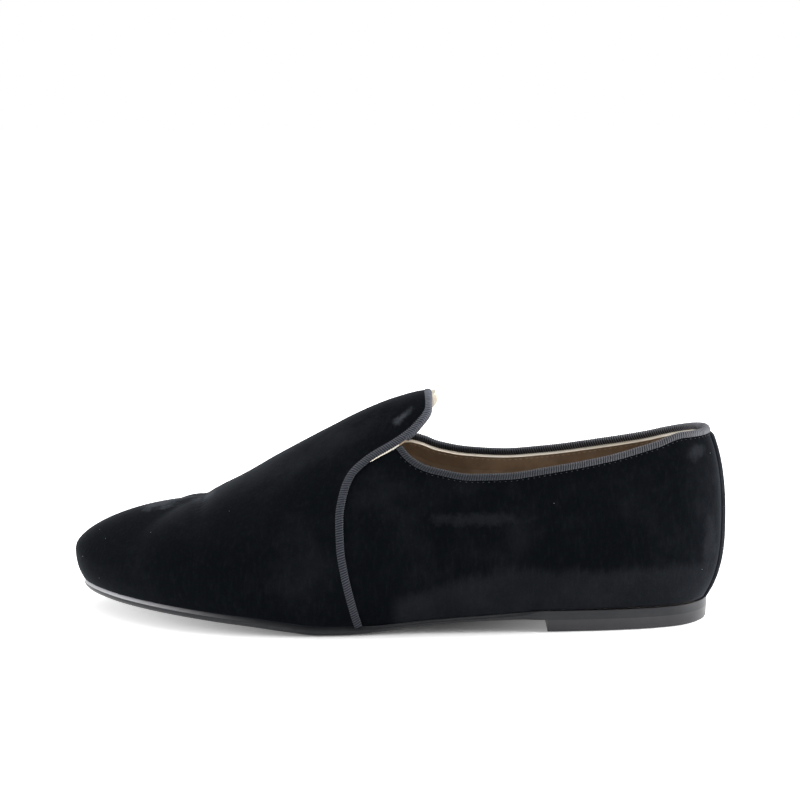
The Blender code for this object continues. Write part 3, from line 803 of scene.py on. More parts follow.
class Effects:
    """Node groups that more than one material uses, built once."""

    def __init__(self) -> None:
        """Build every group."""
        self.patch = self.build_patch()
        self.band = self.build_band()
        self.pile = self.build_pile()
        self.grain = self.build_grain()
        self.ribs = self.build_ribs()

    @staticmethod
    def build_patch() -> bpy.types.NodeTree:
        """Soft slanted patch of painted sheen with a ragged rim: mask from a place, a slant and a size.

        Returns:
            The group.
        """
        tree, graph, given, out = new_group(
            "nap_sheen_patch",
            (("Place", "NodeSocketVector", (0.0, 0.0, 0.0)), ("Slant", "NodeSocketFloat", 0.0),
             ("Size", "NodeSocketVector", (0.02, 0.02, 0.02)), ("Ragged", "NodeSocketFloat", 0.5)),
            (("Mask", "NodeSocketFloat"),))
        where = graph.where()
        away = graph.node("ShaderNodeVectorMath", operation="SUBTRACT")
        graph.link(where, away.inputs[0])
        graph.link(given.outputs["Place"], away.inputs[1])
        turned = graph.node("ShaderNodeVectorRotate", rotation_type="Y_AXIS")
        graph.link(away.outputs[0], turned.inputs["Vector"])
        graph.link(given.outputs["Slant"], turned.inputs["Angle"])
        scaled = graph.node("ShaderNodeVectorMath", operation="DIVIDE")
        graph.link(turned.outputs[0], scaled.inputs[0])
        graph.link(given.outputs["Size"], scaled.inputs[1])
        length = graph.node("ShaderNodeVectorMath", operation="LENGTH")
        graph.link(scaled.outputs[0], length.inputs[0])
        rough = graph.noise(where, 210.0, 6.0, 0.72)
        rough = graph.math("MULTIPLY", graph.math("SUBTRACT", rough, 0.5), given.outputs["Ragged"])
        reach = graph.math("ADD", length.outputs["Value"], graph.math("MULTIPLY", rough, 4.0))
        graph.link(graph.span(reach, 0.25, 1.1, 1.0, 0.0), out.inputs["Mask"])
        return tree

    @staticmethod
    def build_band() -> bpy.types.NodeTree:
        """Painted sheen where the pile lies over along the sole and reflects the floor: mask below a
        ragged line, between two ends.

        Returns:
            The group.
        """
        tree, graph, given, out = new_group(
            "nap_sheen_band",
            (("Front", "NodeSocketFloat", 0.0), ("Full", "NodeSocketFloat", 0.05),
             ("Rear", "NodeSocketFloat", 0.1), ("Low", "NodeSocketFloat", 0.01),
             ("High", "NodeSocketFloat", 0.03), ("Ragged", "NodeSocketFloat", 0.01)),
            (("Mask", "NodeSocketFloat"),))
        where = graph.where()
        place = graph.apart(where)
        climb = graph.node("ShaderNodeMapRange", interpolation_type="SMOOTHSTEP")
        graph.link(place["X"], climb.inputs["Value"])
        for name, label in (("From Min", "Front"), ("From Max", "Full"),
                            ("To Min", "Low"), ("To Max", "High")):
            graph.link(given.outputs[label], climb.inputs[name])
        wide = graph.noise(graph.stretch(where, (90.0, 30.0, 60.0)), 1.0, 2.0, 0.5)
        fine = graph.noise(graph.stretch(where, (620.0, 300.0, 150.0)), 1.0, 4.0, 0.7)
        rough = graph.math("ADD", graph.math("SUBTRACT", wide, 0.5), graph.math("SUBTRACT", fine, 0.5))
        rough = graph.math("MULTIPLY", rough, given.outputs["Ragged"])
        under = graph.math("SUBTRACT", graph.math("ADD", climb.outputs["Result"], rough), place["Z"])
        below = graph.span(under, -1.5 * MM, 4.0 * MM)
        ahead = graph.span(graph.math("SUBTRACT", place["X"], given.outputs["Front"]), 0.0, 6.0 * MM)
        ends = graph.math("SUBTRACT", graph.math("ADD", given.outputs["Rear"], rough), place["X"])
        behind = graph.span(ends, 0.0, 4.0 * MM)
        graph.link(graph.math("MULTIPLY", below, graph.math("MULTIPLY", ahead, behind)),
                   out.inputs["Mask"])
        return tree

    @staticmethod
    def build_pile() -> bpy.types.NodeTree:
        """Velvet pile: soft nap clouds, short streaks and fine fibre relief.

        Returns:
            The group.
        """
        tree, graph, given, out = new_group(
            "velvet_pile",
            (("Cloud", "NodeSocketFloat", 1.0), ("Streak", "NodeSocketFloat", 1.0)),
            (("Nap", "NodeSocketFloat"), ("Fibre", "NodeSocketFloat"), ("Height", "NodeSocketFloat")))
        where = graph.where()
        cloud = graph.span(graph.noise(where, 38.0, 6.0, 0.66), 0.44, 0.78)
        cloud = graph.math("MULTIPLY", cloud, given.outputs["Cloud"])
        long = graph.noise(graph.stretch(where, (850.0, 850.0, 190.0)), 1.0, 4.0, 0.65)
        streak = graph.math("MULTIPLY", graph.span(long, 0.45, 0.8), given.outputs["Streak"])
        graph.link(graph.math("ADD", cloud, streak, clamp=True), out.inputs["Nap"])
        fibre = graph.noise(graph.stretch(where, (3000.0, 3000.0, 1700.0)), 1.0, 3.0, 0.75)
        graph.link(fibre, out.inputs["Fibre"])
        soft = graph.math("MULTIPLY", graph.noise(where, 240.0, 3.0, 0.6), 2.5)
        graph.link(graph.math("ADD", fibre, soft), out.inputs["Height"])
        return tree

    @staticmethod
    def build_grain() -> bpy.types.NodeTree:
        """Fine grain for leather and rubber.

        Returns:
            The group.
        """
        tree, graph, given, out = new_group(
            "fine_grain",
            (("Scale", "NodeSocketFloat", 900.0),),
            (("Tone", "NodeSocketFloat"), ("Height", "NodeSocketFloat")))
        where = graph.where()
        cells = graph.node("ShaderNodeTexVoronoi", feature="SMOOTH_F1")
        graph.link(where, cells.inputs["Vector"])
        graph.link(given.outputs["Scale"], cells.inputs["Scale"])
        tone = graph.noise(where, 60.0, 4.0, 0.6)
        graph.link(tone, out.inputs["Tone"])
        graph.link(graph.math("ADD", cells.outputs["Distance"], graph.noise(where, 1800.0)),
                   out.inputs["Height"])
        return tree

    @staticmethod
    def build_ribs() -> bpy.types.NodeTree:
        """Ribs across a ribbon, a little uneven, with the threads that they are woven of.

        Returns:
            The group.
        """
        tree, graph, given, out = new_group(
            "ribbon_ribs",
            (("Place", "NodeSocketVector", (0.0, 0.0, 0.0)), ("Wobble", "NodeSocketFloat", 0.7),
             ("Sharpness", "NodeSocketFloat", 1.7)),
            (("Crest", "NodeSocketFloat"), ("Thread", "NodeSocketFloat")))
        place = given.outputs["Place"]
        uneven = graph.noise(graph.stretch(place, (0.35, 5.0, 1.0)), 1.0)
        phase = graph.math("ADD", graph.apart(place)["X"],
                           graph.math("MULTIPLY", uneven, given.outputs["Wobble"]))
        turn = graph.math("MULTIPLY", phase, 2 * math.pi)
        wave = graph.math("ADD", graph.math("MULTIPLY", graph.math("COSINE", turn), 0.5), 0.5)
        wave = graph.math("POWER", wave, given.outputs["Sharpness"])
        thread = graph.noise(graph.stretch(place, (3.0, 60.0, 1.0)), 1.0, 3.0, 0.6)
        crest = graph.math("MULTIPLY", wave, graph.span(thread, 0.2, 0.8, 0.7, 1.15), clamp=True)
        graph.link(crest, out.inputs["Crest"])
        graph.link(thread, out.inputs["Thread"])
        return tree


@dataclass(frozen=True)
class NapSheenPatch:
    """Place where the velvet's pile lies over and shines a little; the shine is painted sheen, a
    lighter colour mixed into the velvet's own.
    """

    middle: Point
    size: Point
    strength: float
    slant: float = 0.0
    ragged: float = 0.5

    def mask(self, graph: Graph, effects: Effects, last: Last, place: Frame) -> Socket:
        """Mask of the patch, laid on the last.

        Args:
            graph: helper of the material.
            effects: shared node groups.
            last: surface that the patch lies on.
            place: way to the row frame.

        Returns:
            The mask's socket.
        """
        middle = place.to_frame(last.project(np.array([self.middle]))[0])
        made = graph.group(effects.patch, {
            "Place": tuple(middle), "Slant": math.radians(self.slant),
            "Size": tuple(MM * size for size in self.size), "Ragged": self.ragged})
        return made.outputs["Mask"]


@dataclass(frozen=True)
class NapSheenBand:
    """Stretch along the sole where the pile lies over, under a ragged line, painted lighter as sheen
    where it reflects the floor.
    """

    front: float
    full: float
    rear: float
    low: float
    high: float
    strength: float
    ragged: float = 7.0

    def mask(self, graph: Graph, effects: Effects, place: Frame) -> Socket:
        """Mask of the stretch.

        Args:
            graph: helper of the material.
            effects: shared node groups.
            place: way to the row frame.

        Returns:
            The mask's socket.
        """
        values = {name: (place.shift_u - u) * MM for name, u in
                  (("Front", self.front), ("Full", self.full), ("Rear", self.rear))}
        values |= {"Low": self.low * MM, "High": self.high * MM, "Ragged": self.ragged * MM}
        return graph.group(effects.band, values).outputs["Mask"]


@dataclass(frozen=True)
class VelvetFinish:
    """Black velvet with a nap that catches the light in patches, painted in: patches and bands of
    painted sheen, and painted sheen where the surface is seen edge-on.
    """

    name: str
    pile: Color = (0.0021, 0.0029, 0.0040)
    # shine: the lighter colour that the random nap and the painted sheen mix towards.
    shine: Color = (0.044, 0.048, 0.056)
    cloud: float = 0.10
    streak: float = 0.06
    sheen: float = 0.012
    sheen_tint: Color = (0.75, 0.82, 1.0)
    rim: float = 0.55
    relief: float = 0.2
    patches: tuple[NapSheenPatch, ...] = ()
    bands: tuple[NapSheenBand, ...] = ()

    def material(self, effects: Effects, last: Last, place: Frame) -> bpy.types.Material:
        """Build the material.

        Args:
            effects: shared node groups.
            last: surface that the patches lie on.
            place: way to the row frame.

        Returns:
            The finished material.
        """
        made, graph, shader = blank_material(self.name)
        pile = graph.group(effects.pile, {"Cloud": self.cloud, "Streak": self.streak})
        fine = graph.math("ADD", graph.math("MULTIPLY", pile.outputs["Fibre"], 1.5), 0.25)
        masks = [(patch.mask(graph, effects, last, place), patch.strength) for patch in self.patches]
        masks += [(band.mask(graph, effects, place), band.strength) for band in self.bands]
        # Painted sheen: the velvet is lighter where its surface is seen edge-on.
        facing = graph.node("ShaderNodeLayerWeight").outputs["Facing"]
        masks.append((graph.math("POWER", graph.span(facing, 0.35, 1.0), 2.0), self.rim))
        # The random nap gets the painted sheen of the patches, bands and edge-on rims added to it.
        nap = pile.outputs["Nap"]
        for mask, strength in masks:
            lit = graph.math("MULTIPLY", graph.math("MULTIPLY", mask, strength), fine)
            nap = graph.math("ADD", nap, lit, clamp=True)
        graph.link(graph.mix(nap, color4(self.pile), color4(self.shine)), shader.inputs["Base Color"])
        graph.link(graph.span(nap, 0.0, 1.0, 0.95, 0.7), shader.inputs["Roughness"])
        shader.inputs["Specular IOR Level"].default_value = 0.03
        shader.inputs["Sheen Weight"].default_value = self.sheen
        shader.inputs["Sheen Roughness"].default_value = 0.45
        shader.inputs["Sheen Tint"].default_value = color4(self.sheen_tint)
        add_bump(graph, shader, pile.outputs["Height"], 0.5, self.relief)
        return made


@dataclass(frozen=True)
class RibbonFinish:
    """Ribbed ribbon: painted light on the rib crests over painted shade in the grooves, with painted
    light growing towards one end.
    """

    name: str
    # Crests are painted light on the ribs and groove is painted shade between them; crest and dim_crest
    # are lit and shaded copies.
    crest: Color = (0.120, 0.128, 0.158)
    dim_crest: Color = (0.056, 0.062, 0.082)
    groove: Color = (0.004, 0.005, 0.008)
    bright: tuple[float, float] = (0.066, 0.084)
    along: Along = Along.HEIGHT
    wobble: float = 0.7
    sharpness: float = 1.7
    roughness: float = 0.62
    relief: float = 0.1

    def material(self, effects: Effects) -> bpy.types.Material:
        """Build the material from the shared ribs.

        Args:
            effects: shared node groups.

        Returns:
            The finished material.
        """
        made, graph, shader = blank_material(self.name)
        ribs = graph.group(effects.ribs, {"Place": graph.own_place(), "Wobble": self.wobble,
                                          "Sharpness": self.sharpness})
        # Painted light: the crests grow from dim_crest to crest along one axis of the row frame.
        lit = graph.span(graph.apart(graph.where())[self.along.value], *self.bright)
        tone = graph.mix(lit, color4(self.dim_crest), color4(self.crest))
        graph.link(graph.mix(ribs.outputs["Crest"], color4(self.groove), tone),
                   shader.inputs["Base Color"])
        shader.inputs["Roughness"].default_value = self.roughness
        shader.inputs["Specular IOR Level"].default_value = 0.25
        shader.inputs["Sheen Weight"].default_value = 0.08
        shader.inputs["Sheen Roughness"].default_value = 0.4
        add_bump(graph, shader, ribs.outputs["Thread"], 0.4, self.relief)
        return made


@dataclass(frozen=True)
class PaintedReflectionEdge:
    """Painted reflection on the upper part of the sole's edge, lighter towards the toe."""

    color: Color = (0.40, 0.40, 0.42)
    start: float = 0.56
    end: float = 0.95
    power: float = 3.1
    upper: float = 0.60
    softness: float = 0.05

    def mask(self, graph: Graph) -> Socket:
        """Mask from the sole's own places, along it and up its edge.

        Args:
            graph: helper of the material.

        Returns:
            The mask's socket.
        """
        place = graph.apart(graph.own_place())
        forward = graph.span(place["X"], self.start, self.end)
        high = graph.span(place["Y"], self.upper, self.upper + self.softness)
        return graph.math("MULTIPLY", graph.math("POWER", forward, self.power), high)


@dataclass(frozen=True)
class PlainFinish:
    """Leather, rubber or thread: one colour with a little grain, with a painted reflection on the edge
    where one is given.
    """

    name: str
    color: Color
    other: Color
    roughness: float
    grain_scale: float
    relief: float
    specular: float = 0.5
    painted_reflection: PaintedReflectionEdge | None = None

    def material(self, effects: Effects) -> bpy.types.Material:
        """Build the material from the shared grain.

        Args:
            effects: shared node groups.

        Returns:
            The finished material.
        """
        made, graph, shader = blank_material(self.name)
        grain = graph.group(effects.grain, {"Scale": self.grain_scale})
        tone = graph.span(grain.outputs["Tone"], 0.36, 0.66)
        base = graph.mix(tone, color4(self.color), color4(self.other))
        # Painted reflection: the sole's upper edge is mixed towards a lighter colour near the toe.
        if self.painted_reflection is not None:
            base = graph.mix(self.painted_reflection.mask(graph), base, color4(self.painted_reflection.color))
        graph.link(base, shader.inputs["Base Color"])
        shader.inputs["Roughness"].default_value = self.roughness
        shader.inputs["Specular IOR Level"].default_value = self.specular
        add_bump(graph, shader, grain.outputs["Height"], 0.5, self.relief)
        return made


@dataclass
class Body:
    """Mesh data of one piece before it goes to Blender."""

    verts: Array
    faces: list[tuple[int, ...]]
    uvs: Array | None = None

    def volume(self) -> float:
        """Volume inside the faces, negative where they point inwards.

        Returns:
            The volume in cubed units of the points.
        """
        total = 0.0
        for size in {len(face) for face in self.faces}:
            rows = np.array([face for face in self.faces if len(face) == size])
            first = self.verts[rows[:, 0]]
            for k in range(1, size - 1):
                cross = np.cross(self.verts[rows[:, k]], self.verts[rows[:, k + 1]])
                total += float(np.sum(first * cross))
        return total / 6


@dataclass(frozen=True)
class Workshop:
    """What every sub-assembly needs to build and place its pieces."""

    last: Last
    place: Frame

    def make(self, name: str, body: Body, finish: bpy.types.Material, slot: Slot,
             nodes: tuple[str, ...], sharp: float = 50.0) -> bpy.types.Object:
        """Turn a body into a piece of the shoe.

        Args:
            name: name of the piece.
            body: its mesh data in the shoe's axes.
            finish: its material.
            slot: not used.
            nodes: solids that it stands for.
            sharp: angle in degrees above which its edges stay sharp.

        Returns:
            The new object.
        """
        placed = Body(self.place.to_frame(body.verts), body.faces)
        faces = placed.faces
        if placed.volume() < 0:
            faces = [face[::-1] for face in faces]
        mesh = bpy.data.meshes.new(name)
        mesh.from_pydata(placed.verts.tolist(), [], [list(face) for face in faces])
        if body.uvs is not None:
            layer = mesh.uv_layers.new(name=PLACES)
            corners = np.empty(len(mesh.loops), dtype=np.int32)
            mesh.loops.foreach_get("vertex_index", corners)
            layer.data.foreach_set("uv", body.uvs[corners].astype(np.float32).ravel())
        mesh.materials.append(finish)
        mesh.shade_smooth()
        mesh.set_sharp_from_angle(angle=math.radians(sharp))
        made = bpy.data.objects.new(name, mesh)
        bpy.context.scene.collection.objects.link(made)
        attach(made, "root")
        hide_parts(*nodes)
        LOG.info("%s: %d faces", name, len(mesh.polygons))
        return made


def grid_body(outer: Array, inner: Array) -> Body:
    """Closed sheet between two grids of equal size.

    Args:
        outer: grid of points of the outer face.
        inner: grid of the inner face.

    Returns:
        The closed sheet.
    """
    rows, columns = outer.shape[:2]
    verts = np.concatenate([outer.reshape(-1, 3), inner.reshape(-1, 3)])
    index = np.arange(rows * columns).reshape(rows, columns)
    under = index + rows * columns
    quads = [np.stack([index[:-1, :-1], index[:-1, 1:], index[1:, 1:], index[1:, :-1]], axis=-1),
             np.stack([under[:-1, :-1], under[1:, :-1], under[1:, 1:], under[:-1, 1:]], axis=-1)]
    faces = [tuple(int(k) for k in quad) for part in quads for quad in part.reshape(-1, 4)]
    rim = [*index[0, :], *index[1:, -1], *index[-1, -2::-1], *index[-2:0:-1, 0]]
    shift = rows * columns
    for a, b in zip(rim, rim[1:] + rim[:1]):
        faces.append((int(b), int(a), int(a) + shift, int(b) + shift))
    return Body(verts, faces)


def sweep(rings: Array, uvs: Array | None = None) -> Body:
    """Solid swept through rings of equal size, with flat ends.

    Args:
        rings: rings of points, one after another.
        uvs: UV place of each point, or None.

    Returns:
        The closed body.
    """
    count, size = rings.shape[:2]
    index = np.arange(count * size).reshape(count, size)
    after = np.roll(index, -1, axis=1)
    quads = np.stack([index[:-1], after[:-1], after[1:], index[1:]], axis=-1).reshape(-1, 4)
    faces = [tuple(int(k) for k in quad) for quad in quads]
    faces.append(tuple(int(k) for k in index[0][::-1]))
    faces.append(tuple(int(k) for k in index[-1]))
    return Body(rings.reshape(-1, 3), faces, uvs)


def joined(bodies: list[Body]) -> Body:
    """Several bodies kept as one.

    Args:
        bodies: the bodies.

    Returns:
        One body with all their faces.
    """
    faces: list[tuple[int, ...]] = []
    shift = 0
    for body in bodies:
        faces += [tuple(k + shift for k in face) for face in body.faces]
        shift += len(body.verts)
    return Body(np.concatenate([body.verts for body in bodies]), faces)


@dataclass(frozen=True)
class Pattern:
    """Cut lines and grids of the upper, laid on the last.

    Close to the notch, over pull_share of its run, the top edge is drawn to the vamp's edge.
    """

    last: Last
    pull_share: float = 0.1
    crowding: float = 1.5
    back_room: float = 1.0

    def vamp_edge(self, side: Side, first: int = 0, count: int = 400) -> Array:
        """Rear edge of the vamp on one side, from a row of its table down to the sole.

        Args:
            side: side of the shoe.
            first: row of the table to start from.
            count: number of steps.

        Returns:
            Points from the top to the sole.
        """
        last = self.last
        at = np.linspace(first, len(VAMP_EDGE) - 1, count)
        u = smooth_table(VAMP_EDGE, 1, 2, at) * last.sizes.length
        angle = np.radians(smooth_table(VAMP_EDGE, 1, 3, at))
        theta = np.arccos(1 - 2 * (u - last.back) / last.run)
        cut = last.section(theta if side is Side.OUTER else 2 * math.pi - theta)
        edge = last.place(cut, angle)
        below = edge[:, 2] < cut["edge_z"] + 1e-6
        return edge[:max(int(np.argmax(below)), 2)] if below[-1] else edge

    def seam(self, side: Side) -> Array:
        """Rear edge of the vamp from the notch down to the sole."""
        return self.vamp_edge(side, NOTCH_ROW)

    def seam_foot(self, side: Side) -> float:
        """Theta where the vamp's rear edge reaches the sole."""
        end = self.vamp_edge(side)[-1]
        return float(self.last.theta_of(end[0], end[1]))

    def topline(self, side: Side, count: int = 300) -> Array:
        """Top edge of the quarter on one side, from the back to the vamp's notch.

        Args:
            side: side of the shoe.
            count: number of points.

        Returns:
            Points from the back to the notch.
        """
        end = TOPLINE[-1][1]
        share = end * np.linspace(0.0, 1.0, count) ** self.crowding
        theta = np.arccos(1 - 2 * share)
        height = smooth_table(TOPLINE, 1, 2 if side is Side.OUTER else 3, share)
        height = height * self.last.sizes.back_height
        edge = self.last.wall_point(theta if side is Side.OUTER else 2 * math.pi - theta, height)
        pull = ease((share / end - 1 + self.pull_share) / self.pull_share)[:, None]
        return self.last.project(edge + pull * (self.seam(side)[0] - edge[-1]))

    def sole_edge(self, start: float, end: float, count: int) -> Array:
        """Lower edge of the upper between two thetas, at even steps.

        Args:
            start: first theta.
            end: last theta.
            count: number of points.

        Returns:
            The points.
        """
        theta = np.linspace(start, end, 6 * count)
        u, y = self.last.loop(theta)
        return resample(np.stack([u, y, self.last.sole_top(u) + EDGE_GAP], axis=1), count)

    @staticmethod
    def patch(bottom: Array, top: Array, left: Array, right: Array) -> Array:
        """Transfinite patch between four curves; rows run from bottom to top.

        Args:
            bottom: lower curve.
            top: upper curve.
            left: curve at their first points.
            right: curve at their last points.

        Returns:
            The grid of points.
        """
        v = np.linspace(0, 1, len(left))[:, None, None]
        h = np.linspace(0, 1, len(bottom))[None, :, None]
        corners = ((1 - h) * (1 - v) * bottom[0] + h * (1 - v) * bottom[-1]
                   + (1 - h) * v * top[0] + h * v * top[-1])
        return ((1 - v) * bottom[None] + v * top[None]
                + (1 - h) * left[:, None] + h * right[:, None] - corners)

    def drape(self, grid: Array, rows: int) -> Array:
        """Lay a patch on the last with even rows along each column.

        Args:
            grid: grid of the patch.
            rows: number of rows of faces wanted.

        Returns:
            The new grid on the last.
        """
        laid = self.last.project(grid)
        columns = []
        for k in range(laid.shape[1]):
            run = travelled(laid[:, k])[-1]
            grade = 1.0 + 0.5 * float(ease((run - 60.0) / 120.0))
            columns.append(resample(laid[:, k], rows + 1, grade))
        return self.last.project(np.stack(columns, axis=1))

    def quarter(self, side: Side, columns: int, rows: int) -> Array:
        """Grid of one quarter from the back of the heel to the vamp's edge.

        Args:
            side: side of the shoe.
            columns: faces along it.
            rows: faces up it.

        Returns:
            The grid of points.
        """
        foot = self.seam_foot(side)
        start = 0.0 if side is Side.OUTER else 2 * math.pi
        bottom = self.sole_edge(start, foot, columns + 1)
        top = resample(self.topline(side), columns + 1)
        steps = 3 * rows
        low = bottom[0] + np.zeros((steps, 3))
        low[:, 2] = np.linspace(bottom[0, 2], top[0, 2], steps)
        low[:, 0] -= self.back_room
        back = resample(self.last.project(low), steps)
        seam = resample(self.seam(side)[::-1], steps)
        return self.drape(self.patch(bottom, top, back, seam), rows)

    def vamp(self, columns: int, rows: int) -> Array:
        """Grid of the vamp from the outer seam round the toe to the inner seam.

        Args:
            columns: faces round it.
            rows: faces up it.

        Returns:
            The grid of points.
        """
        bottom = self.sole_edge(self.seam_foot(Side.OUTER), self.seam_foot(Side.INNER), columns + 1)
        outer, inner = self.vamp_edge(Side.OUTER), self.vamp_edge(Side.INNER)
        count = int(np.argmin(np.linalg.norm(outer - self.seam(Side.OUTER)[0], axis=1)))
        top = resample(np.concatenate([outer[:count + 1][::-1], inner[1:count + 1]]), columns + 1)
        steps = 3 * rows
        left = resample(self.seam(Side.OUTER)[::-1], steps)
        right = resample(self.seam(Side.INNER)[::-1], steps)
        top[0], top[-1] = left[-1], right[-1]
        return self.drape(self.patch(bottom, top, left, right), rows)


@dataclass(frozen=True)
class Crease:
    """Soft trough or ridge in the upper, between two places on the last."""

    start: tuple[float, float]
    end: tuple[float, float]
    side: Side
    width: float
    depth: float

    def lift(self, points: Array, last: Last) -> Array:
        """Signed lift of points near the crease, in millimetres.

        Args:
            points: points on the last.
            last: surface that the crease lies on.

        Returns:
            The lift of each point.
        """
        a = last.spot(*self.start, self.side)
        b = last.spot(*self.end, self.side)
        along = b - a
        share = np.clip((points - a) @ along / float(along @ along), 0.0, 1.0)
        away = np.linalg.norm(points - a - share[..., None] * along, axis=-1)
        fade = np.sin(np.pi * np.clip(0.08 + 0.84 * share, 0, 1))
        return self.depth * fade * np.exp(-(away / self.width) ** 2)


@dataclass
class Upper:
    """Velvet vamp and quarters with their lining."""

    shop: Workshop
    rows: int = 64
    vamp_columns: int = 230
    quarter_columns: int = 110
    cloth: float = 0.8
    lining_gap: float = 0.02
    tuck: float = 0.35
    foot_lift: float = 0.3
    foot_hold: float = 0.12
    top_hold: float = 0.03
    smooth_below: float = 80.0
    creases: tuple[Crease, ...] = (
        Crease((0.735, 52.0), (0.700, 86.0), Side.OUTER, 9.0, -0.22),
        Crease((0.700, 50.0), (0.668, 84.0), Side.OUTER, 7.0, 0.14),
        Crease((0.655, 48.0), (0.622, 82.0), Side.OUTER, 7.0, -0.20),
        Crease((0.735, 52.0), (0.705, 86.0), Side.INNER, 9.0, -0.30),
        Crease((0.690, 40.0), (0.668, 80.0), Side.INNER, 5.0, -0.30),
        Crease((0.430, 80.0), (0.600, 88.0), Side.OUTER, 9.0, 0.85),
        Crease((0.430, 80.0), (0.600, 88.0), Side.INNER, 9.0, 0.55),
        Crease((0.350, 34.0), (0.520, 26.0), Side.OUTER, 9.0, -0.45),
        Crease((0.140, 30.0), (0.300, 38.0), Side.OUTER, 9.0, -0.35),
        Crease((0.360, 34.0), (0.520, 26.0), Side.INNER, 9.0, -0.55),
    )

    def shape(self, grid: Array, lift: float) -> Array:
        """Outer face of the cloth: the grid with its creases, tucked in at the sole.

        Args:
            grid: grid on the last.
            lift: plain lift of the cloth.

        Returns:
            The grid of the outer face.
        """
        last = self.shop.last
        total = np.full(grid.shape[:2], lift)
        for crease in self.creases:
            total = total + crease.lift(grid, last)
        rows = np.arange(grid.shape[0]) / (grid.shape[0] - 1)
        hold = ease(rows / self.foot_hold) * ease((1 - rows) / self.top_hold)
        total = lift + (total - lift) * hold[:, None]
        out = last.offset(grid, total)
        out[0] = grid[0] + last.normal(grid[0]) * (self.foot_lift * lift)
        out[0, :, 2] = grid[0, :, 2] - self.tuck
        return out

    def cloth_body(self, grid: Array, lift: float) -> Body:
        """Closed sheet of cloth on the last.

        Args:
            grid: grid on the last.
            lift: plain lift of the cloth.

        Returns:
            The closed body.
        """
        outer = self.shape(grid, lift)
        inner = self.shop.last.offset(grid, -self.cloth)
        inner[0, :, 2] = outer[0, :, 2]
        return grid_body(outer, inner)

    def lining_body(self, grid: Array) -> Body:
        """Closed sheet of lining leather inside the cloth.

        Args:
            grid: grid on the last.

        Returns:
            The closed body.
        """
        last = self.shop.last
        outer = last.offset(grid, -self.cloth - self.lining_gap)
        inner = last.offset(grid, -last.sizes.wall)
        inner[0, :, 2] = outer[0, :, 2] = grid[0, :, 2]
        return grid_body(outer, inner)

    def build(self, velvet: bpy.types.Material, lining: bpy.types.Material) -> None:
        """Build and dress the vamp, the quarters and their lining.

        Args:
            velvet: finish of the cloth.
            lining: finish of the lining.
        """
        pattern = Pattern(self.shop.last)
        scale = 1.0
        rows = int(self.rows * scale)
        vamp = pattern.vamp(int(self.vamp_columns * scale), rows)
        columns = int(self.quarter_columns * scale)
        outer = pattern.quarter(Side.OUTER, columns, rows)
        inner = pattern.quarter(Side.INNER, columns, rows)
        quarters = np.concatenate([outer[:, ::-1], inner[:, 1:]], axis=1)
        step = self.shop.last.sizes.overlap_step
        for name, grid, lift in (("vamp_velvet", vamp, step), ("quarter_velvet", quarters, 0.0)):
            self.shop.make(name, self.cloth_body(grid, lift), velvet, Slot.VELVET, ("upper",),
                           self.smooth_below)
        for name, grid in (("vamp_lining", vamp), ("quarter_lining", quarters)):
            self.shop.make(name, self.lining_body(grid[::2, ::2]), lining, Slot.LINING, ("upper",))


